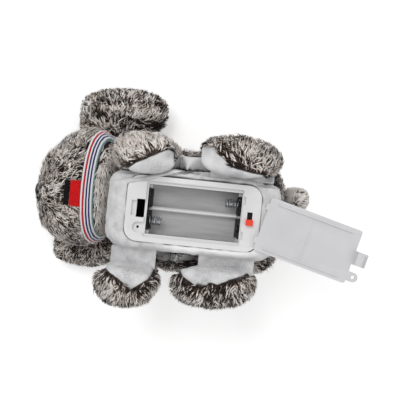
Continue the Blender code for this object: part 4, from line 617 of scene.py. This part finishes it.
def clear_of(points):
    """False where a point is in a place that the fur leaves free: the collar, mouth, nose and eyes."""
    out = np.ones(len(points), bool)
    for low, high in CLEARINGS:
        out &= ~((points > low) & (points < high)).all(1)
    near = in_collar(points)
    on_band = (np.abs(near[:, 0]) < COLLAR_WIDTH / 2 - COLLAR_HIDDEN) & (near[:, 2] > 6 * MM)
    return out & ~on_band


def strand_mesh(name, line, up, thick, own):
    """A closed tapering strand along each line of three places, with a shade for each of its points."""
    rows, shades, bulge = [], [], []
    for level, (share, fat) in enumerate(zip(STRAND_LEVELS, STRAND_THICK)):
        after = min(level + 1, 2)
        before = max(level - 1, 0)
        ahead = unit(line[:, after] - line[:, before])
        flat = unit(np.cross(ahead, up) + 1e-9)
        out = unit(np.cross(flat, ahead))
        value = np.clip(share * (0.46 + 1.0 * own) + 0.3 * (own - 0.5), 0, 1)
        middle = line[:, level]
        if fat:
            t = (thick * fat)[:, None]
            for spot, face in ((flat * t, flat), (-flat * t, -flat), (out * (0.8 * t), out)):
                rows.append(middle + spot)
                bulge.append(face)
                shades.append(value)
        else:
            rows.append(middle)
            bulge.append(ahead)
            shades.append(value)
    per = len(rows)
    vertices = np.stack(rows, 1).reshape(-1, 3)
    vertices[:, 2] = np.maximum(vertices[:, 2], STRAND_LOWEST)
    start = (np.arange(len(line)) * per)[:, None, None]
    quads = (start + np.array(STRAND_QUADS)[None]).reshape(-1, 4)
    tips = (start + np.array(STRAND_TIPS)[None]).reshape(-1, 3)
    made = bpy.data.meshes.new(name)
    made.vertices.add(len(vertices))
    made.vertices.foreach_set("co", vertices.astype(np.float32).ravel())
    made.loops.add(quads.size + tips.size)
    made.loops.foreach_set("vertex_index", np.concatenate((quads.ravel(), tips.ravel())).astype(np.int32))
    made.polygons.add(len(quads) + len(tips))
    starts = np.concatenate((np.arange(len(quads)) * 4, quads.size + np.arange(len(tips)) * 3))
    made.polygons.foreach_set("loop_start", starts.astype(np.int32))
    made.update(calc_edges=True)
    smooth(made)
    normals = unit((0.75 * np.stack(bulge, 1) + 0.9 * up[:, None, :]).reshape(-1, 3))
    made.normals_split_custom_set_from_vertices(normals.tolist())
    attribute(made, "shade", np.stack(shades, 1).ravel())
    return made


def pelt(obj, name, body, count, length, lift, comb, seed, within, tone=0.0, keep=None, blockers=(), turn=0.6,
         beyond=2.6 * MM):
    """Fur of closed tapering strands on a skin.

    comb(places) gives the way that it is brushed, keep(places) where it grows, within the CAD node that it
    stays near, and blockers the trees and reaches that stop it.
    """
    draw = np.random.default_rng(seed)
    mesh = obj.data
    places, normals, faces = points_of(mesh), points_of(mesh, "normal"), triangles_of(mesh)
    corners = places[faces]
    centres = corners.mean(1)
    across = np.cross(corners[:, 1] - corners[:, 0], corners[:, 2] - corners[:, 0])
    area = np.linalg.norm(across, axis=1) / 2
    facing = unit(across)
    pale = np.empty(len(places), np.float32)
    mesh.attributes["pale"].data.foreach_get("value", pale)
    good = pale[faces].mean(1) < FUR_LIMIT
    if keep is not None:
        good &= keep(centres)
    for tree, reach in blockers:
        spots = np.flatnonzero(good)
        good[spots] = unblocked(centres[spots], facing[spots], tree, reach)
    weight = np.cumsum(area * good)
    picked = np.searchsorted(weight, draw.random(count) * weight[-1])
    a, b = np.sqrt(draw.random(count)), draw.random(count)
    shares = np.stack((1 - a, a * (1 - b), a * b), 1)
    root = (corners[picked] * shares[:, :, None]).sum(1)
    up = unit((normals[faces][picked] * shares[:, :, None]).sum(1))
    way = unit(flat_to(comb(root), up) + 1e-9)
    side = np.cross(up, way)
    leads = draw.choice(count, max(count // STRAND_TUFT, 2), replace=False)
    finder = KDTree(len(leads))
    for i, lead in enumerate(leads):
        finder.insert(root[lead], i)
    finder.balance()
    mine = leads[np.array([finder.find(p)[1] for p in root])]
    own_turn, own_rise = draw.normal(size=count), draw.normal(size=count)
    angle = turn * (0.6 * waves(root, 17 * MM, seed + 11) + 0.5 * own_turn[mine])
    angle = angle + 0.3 * draw.normal(size=count)
    way = way * np.cos(angle)[:, None] + side * np.sin(angle)[:, None]
    rise = lift + 0.14 * waves(root, 13 * MM, seed + 12) + 0.12 * own_rise[mine]
    rise = np.clip(rise + 0.2 * draw.normal(size=count), 0.12, 1.35)
    aim = way * np.cos(rise)[:, None] + up * np.sin(rise)[:, None]
    long = length * (1 + 0.16 * waves(root, 21 * MM, seed + 13)) * draw.uniform(0.6, 1.25, count)
    swirl = np.cross(up, way) * (0.9 * draw.normal(size=count))[:, None]
    bend = way * STRAND_CURL - up * (0.35 * STRAND_CURL) + swirl * STRAND_CURL
    line = [root - up * STRAND_ROOT]
    for share in STRAND_LEVELS[1:]:
        line.append(root + long[:, None] * (aim * share + bend * (share * share * 0.5)))
    line = np.stack(line, 1)
    pull = STRAND_CLUMP * draw.uniform(0.5, 1.0, count)
    for level, share in enumerate(STRAND_LEVELS):
        s = (share ** 1.5 * pull)[:, None]
        offset = line[mine, level] + (root - root[mine]) * 0.15
        line[:, level] = line[:, level] * (1 - s) + offset * s
    form = tree_of(NODES[within])
    most = 0.3 * MM + beyond * draw.random(count) ** 2
    for level in (1, 2):
        for i in range(count):
            near, face, _, far = form.find_nearest(Vector(line[i, level]))
            if (Vector(line[i, level]) - near).dot(face) > 0 and far > most[i]:
                line[i, level] = near + face * most[i]
    line[:, :, 2] = np.maximum(line[:, :, 2], STRAND_FLOOR)
    free = np.ones(count, bool)
    for level in (1, 2):
        free &= clear_of(line[:, level])
    free &= clear_of((line[:, 0] + line[:, 1]) / 2) & clear_of((line[:, 1] + line[:, 2]) / 2)
    line, up, root, mine = line[free], up[free], root[free], mine[free]
    thick = STRAND_WIDTH * draw.uniform(0.7, 1.3, count)[free]
    shade = draw.normal(size=count)
    own = 0.5 + 0.16 * shade[mine] + 0.34 * shade[free] + 0.12 * waves(root, 8 * MM, seed + 14) + tone
    # Fur tone and painted shade of those lines, on roots that face up
    own += fold_tone_and_shade(root) * (up[:, 2] > 0)
    hair = placed(name, strand_mesh(name, line, up, thick, own), FUR)
    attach(hair, body)


def away_from(place, along=(0, 0, 0)):
    """A brushing rule: away from a point in mm, and along a direction."""
    centre = np.array(place) * MM
    lean = np.array(along, float)
    return lambda spots: unit(spots - centre) + lean


def dress_body():
    cloth = skin("body_plush", "body_cloth", "dog", 1.6 * MM, 4)
    points, normals = points_of(cloth.data), points_of(cloth.data, "normal")
    pale = np.minimum(inside(in_picture(points), BODY_WHITE), (normals[:, 2] - 0.3) * WHITE_EDGE)
    sink(cloth, pale, 2.5 * MM)
    own = tree_of(cloth)
    legs = [(tree, 9 * MM) for tree in LEG_SKINS.values()]
    pelt(cloth, "body_fur", "dog", 19800, 8.0 * MM, 0.5, away_from((-160, 5, 40), along=(0, 0, 0.2)), 21,
         "body_plush", blockers=[(own, 150 * MM)] + legs)


def add_form(mesh, rings, sides):
    """Adds a closed form of stacked rings to a mesh."""
    made = bmesh.new()
    made.from_mesh(mesh)
    rows = [[made.verts.new(spot) for spot in ring] for ring in rings]
    for one, two in zip(rows, rows[1:]):
        for i in range(sides):
            j = (i + 1) % sides
            made.faces.new((one[i], one[j], two[j], two[i]))
    made.faces.new(rows[0][::-1])
    made.faces.new(rows[-1])
    bmesh.ops.recalc_face_normals(made, faces=made.faces)
    made.to_mesh(mesh)
    made.free()


def squared(share):
    """Draws a circle's sine or cosine outward, so that the ring becomes a rounded box."""
    return math.copysign(abs(share) ** 0.6, share)


def side_fold():
    """The fold of cloth that closes the left side, between the plate and the legs."""
    sides, steps = 12, 24
    front, length, top, low, across, half = -39, 79, 70.2, 59.5 * MM, 21.9, 1.3
    rings = []
    for step in range(steps + 1):
        share = step / steps
        x = (front + length * share) * MM
        ends = min(share, 1 - share) * 2
        size = 0.45 + 0.55 * min(ends * 6, 1)
        rise = (top + 0.5 * math.sin(share * 17) + 0.35 * math.sin(share * 41 + 1)) * MM
        ring = []
        for i in range(sides):
            turn = 2 * math.pi * i / sides
            y = (across + half * size * squared(math.cos(turn))) * MM
            z = (rise + low) / 2 + (rise - low) / 2 * size * squared(math.sin(turn))
            ring.append((x, y, z))
        rings.append(ring)
    return rings, sides


def rim_fold():
    """The fold of cloth that lies over the plate's rim at its front left corner."""
    sides = 10
    rings = []
    for right, down, half in RIM_FOLD:
        ring = []
        for i in range(sides):
            turn = 2 * math.pi * i / sides
            spot = in_space((right, down + half * math.cos(turn)), PLATE_LEVEL)
            spot.z = PLATE_LEVEL + RIM_FOLD_LIFT + half * RIM_FOLD_RISE * math.sin(turn)
            ring.append(spot)
        rings.append(ring)
    return rings, sides


def box_rings(along, across, up):
    """The two end rings of an upright box, and how many sides it has, from its reach each way in mm."""
    (front, rear), (right, left) = along, across
    corners = ((front, right), (rear, right), (rear, left), (front, left))
    return [[(x * MM, y * MM, z * MM) for x, y in corners] for z in up], 4


def dress_sides():
    """The cloth behind the legs, which closes the openings that the rockers pass through."""
    for side, name in ((1, "left"), (-1, "right")):
        mesh = bpy.data.meshes.new(f"side_cloth_{name}")
        for along, (near, far), up in SIDE_CLOTH:
            add_form(mesh, *box_rings(along, sorted((side * near, side * far)), up))
        obj = placed(mesh.name, mesh, PLUSH)
        refined(obj, 0.6 * MM, 0.5, 3)
        points, normals = points_of(obj.data), points_of(obj.data, "normal")
        move_points(obj.data, points + normals * (waves(points, 9 * MM, 35) * 0.2 * MM)[:, None])
        smooth(obj.data)
        attribute(obj.data, "pale", (points[:, 2] - SIDE_CLOTH_WHITE) / MM)
        mark_wear_and_painted_light(obj.data)
        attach(obj, "dog")


def dress_panel():
    cloth = skin("belly_panel", "belly_cloth", "dog", 0.7 * MM, 5, 0.4 * MM, 31,
                 (side_fold(), rim_fold()))
    attribute(cloth.data, "pale", even(cloth.data, ALL_WHITE))


def gusset(key, start_y, start_z, end_z, wide, shift):
    """White cloth from under the edge of the belly cloth to the inner face of a leg."""
    side = 1 if key.endswith("left") else -1
    hip = HIP_PLACE[key.split("_")[0]]
    across, along = 28, 8
    probe, inset, ripple = 12 * MM, 0.9 * MM, 0.9 * MM
    rows = []
    for step in range(across + 1):
        x = (hip + shift + wide * (2 * step / across - 1)) * MM
        start = Vector((x, side * start_y * MM, start_z * MM))
        hit = LEG_SKINS[key].ray_cast(Vector((x, side * probe, end_z * MM)), Vector((0, side, 0)))[0]
        if hit is None:
            continue
        end = hit + Vector((0, side * inset, 0))
        row = []
        for place in range(along + 1):
            share = place / along
            spot = start.lerp(end, share)
            spot.z += ripple * math.sin(math.pi * share) * math.sin(0.9 * step + 1)
            row.append(spot)
        rows.append(row)
    spots = [tuple(spot) for row in rows for spot in row]
    per = along + 1
    faces = [(i * per + j, i * per + j + 1, (i + 1) * per + j + 1, (i + 1) * per + j)
             for i in range(len(rows) - 1) for j in range(along)]
    mesh = bpy.data.meshes.new(f"gusset_{key}")
    mesh.from_pydata(spots, [], faces)
    obj = placed(f"gusset_{key}", mesh, PLUSH)
    worked(obj, ("SOLIDIFY", {"thickness": 0.8 * MM, "offset": 0}),
           ("SUBSURF", {"levels": 1, "render_levels": 1}))
    smooth(obj.data)
    attribute(obj.data, "pale", even(obj.data, ALL_WHITE))
    mark_wear_and_painted_light(obj.data)
    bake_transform(obj)


def dress_leg(key, seed):
    node = f"leg_{key}"
    side = 1 if key.endswith("left") else -1
    cloth = skin(node, f"leg_{key}_cloth", node, 1.0 * MM, 5, 0.25 * MM, seed)
    points, normals = points_of(cloth.data), points_of(cloth.data, "normal")
    pale = inside(in_picture(points), LEG_WHITE[key])
    if side < 0:
        inner = np.array((0, math.cos(RIGHT_SPLAY[key]), math.sin(RIGHT_SPLAY[key])))
        pale = np.minimum(pale, (normals @ inner - 0.05) * WHITE_EDGE)
    else:
        pale = np.minimum(pale, (normals @ INWARD_LEFT + 0.45) * WHITE_EDGE)
    sink(cloth, pale, 2.2 * MM)
    LEG_SKINS[key] = tree_of(cloth)
    lean = (0, 0.5 * side, 0.25 if side > 0 else -0.2)
    length, lift, turn = LEG_PILE[side]
    pelt(cloth, f"leg_{key}_fur", node, 10000, length, lift, away_from(LEG_CENTRE[key], along=lean),
         seed + 50, node, tone=LEG_TONE[key], turn=turn)


def dress_head():
    for node, (below, above) in HEAD_ROOM.items():
        low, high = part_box(node)
        CLEARINGS.append((np.array(low) - np.array(below) * MM, np.array(high) + np.array(above) * MM))
    cloth = skin("head_plush", "head_cloth", "dog", 1.3 * MM, 5)
    sink(cloth, even(cloth.data, ALL_FUR), 2.6 * MM)
    own = [(tree_of(cloth), 90 * MM)]
    pelt(cloth, "head_fur", "dog", 19800, 6.5 * MM, 0.6, away_from((-104, 4.7, 42)), 71,
         "head_plush", turn=0.9, blockers=own)
    pelt(cloth, "chest_fur", "dog", 4500, 8.5 * MM, 0.85, away_from((-80, 60, 50)), 77, "head_plush",
         tone=0.4, keep=behind_collar, blockers=own, turn=0.8, beyond=5 * MM)


def behind_collar(centres):
    """The throat, between the collar and the cloth panel."""
    return (in_collar(centres)[:, 0] > COLLAR_WIDTH / 2 - 0.5 * MM) & (centres[:, 2] > 24 * MM)


def dress_ears():
    for side, centre, seed in (("left", (-60, 40, 14), 81), ("right", (-66, -20, 12), 91)):
        node = f"ear_{side}"
        cloth = skin(node, f"ear_{side}_cloth", "dog", 1.0 * MM, 5)
        sink(cloth, even(cloth.data, ALL_FUR), 2.0 * MM)
        pelt(cloth, f"ear_{side}_fur", "dog", 8000, 6.5 * MM, 0.6, away_from(centre), seed, node, tone=-0.15,
             turn=0.9)


def dress_tail():
    cloth = skin("tail_plush", "tail_cloth", "tail", 1.0 * MM, 4)
    sink(cloth, even(cloth.data, ALL_FUR), 1.5 * MM)
    pelt(cloth, "tail_fur", "tail", 3500, 5.5 * MM, 0.5, away_from((50, 4, 40), along=(0, 0, -0.8)), 101,
         "tail_plush", tone=0.85, beyond=1.2 * MM)


def dress_small():
    """The tongue and the mouth lining, as felt with fine meshes."""
    for node, name, material, slot in (("tongue", "tongue_felt", RED_FELT, "red_felt"),
                                       ("mouth_lining", "mouth_cloth", BLACK_FELT, "black_felt")):
        obj = placed(name, NODES[node].data.copy(), material)
        refined(obj, 0.35 * MM, 0.5, 3)
        smooth(obj.data)
        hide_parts(node)
        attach(obj, "dog")


def dress_collar():
    obj = placed("collar_woven", NODES["collar_ribbon"].data.copy(), RIBBON)
    worked(obj, ("SUBSURF", {"subdivision_type": "SIMPLE", "levels": 1, "render_levels": 1}))
    near = in_collar(points_of(obj.data))
    attribute(obj.data, "across", np.clip(near[:, 0] / COLLAR_WIDTH + 0.5, 0, 1))
    around = np.arctan2(near[:, 2], near[:, 1])
    radius = np.hypot(near[:, 1], near[:, 2]).mean()
    attribute(obj.data, "around", around * radius)
    smooth(obj.data)
    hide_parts("collar_ribbon")
    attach(obj, "dog")


def make_camera():
    data = bpy.data.cameras.new("camera")
    data.lens = LENS
    data.sensor_width = SENSOR
    camera = bpy.data.objects.new("camera", data)
    camera.location = CAMERA_PLACE
    camera.rotation_euler = (0, 0, PICTURE_TURN)
    bpy.context.scene.collection.objects.link(camera)
    bpy.context.scene.camera = camera


def lamp(name, place, size, power):
    data = bpy.data.lights.new(name, "AREA")
    data.size = size
    data.energy = power
    obj = bpy.data.objects.new(name, data)
    obj.location = place
    obj.rotation_euler = (-Vector(place)).to_track_quat("-Z", "Y").to_euler()
    bpy.context.scene.collection.objects.link(obj)


def seen_directly(tree):
    """A value of 1 for camera, glossy and transmission rays, and 0 for the rays that light the object."""
    path = tree.nodes.new("ShaderNodeLightPath")
    last = path.outputs["Is Camera Ray"]
    for key in ("Is Glossy Ray", "Is Transmission Ray"):
        most = tree.nodes.new("ShaderNodeMath")
        most.operation = "MAXIMUM"
        tree.links.new(last, most.inputs[0])
        tree.links.new(path.outputs[key], most.inputs[1])
        last = most.outputs[0]
    return last


def make_studio():
    scene = bpy.context.scene
    scene.view_settings.view_transform = "Standard"
    world = bpy.data.worlds.new("studio")
    scene.world = world
    world.use_nodes = True
    tree = world.node_tree
    ground = tree.nodes["Background"]
    ground.inputs["Color"].default_value = (1, 1, 1, 1)
    strength = tree.nodes.new("ShaderNodeMapRange")
    strength.inputs["To Min"].default_value = WORLD_LIGHT
    strength.inputs["To Max"].default_value = 1.0
    tree.links.new(seen_directly(tree), strength.inputs["Value"])
    tree.links.new(strength.outputs["Result"], ground.inputs["Strength"])
    mesh = bpy.data.meshes.new("floor")
    corners = ((-1, -1), (1, -1), (1, 1), (-1, 1))
    mesh.from_pydata([(x * FLOOR_HALF, y * FLOOR_HALF, FLOOR_LEVEL) for x, y in corners], [], [(0, 1, 2, 3)])
    look = Look("floor_paper", 0.9, 0.0)
    look.colour(look.ramp(look.noise(40), ((0.3, (247, 247, 247)), (0.7, (250, 250, 250)))))
    look.shader.inputs["Emission Color"].default_value = (1, 1, 1, 1)
    glow = look.calc("MULTIPLY", seen_directly(look.tree), FLOOR_GLOW)
    look.put(look.shader.inputs["Emission Strength"], glow)
    placed("floor", mesh, look.made)
    lamp("key", (-0.45, 0.6, 1.3), 0.8, 7.4)
    lamp("fill", (0.8, -0.5, 1.15), 1.1, 4.0)
    lamp("rim", (0.2, 1.3, 0.5), 0.8, 1.6)


make_camera()
make_studio()
carry_over()
dress_head()
for number, key in enumerate(LEG_WHITE):
    dress_leg(key, 41 + number)
dress_body()
dress_panel()
dress_sides()
for row in GUSSETS:
    gusset(*row)
dress_ears()
dress_tail()
dress_small()
dress_collar()
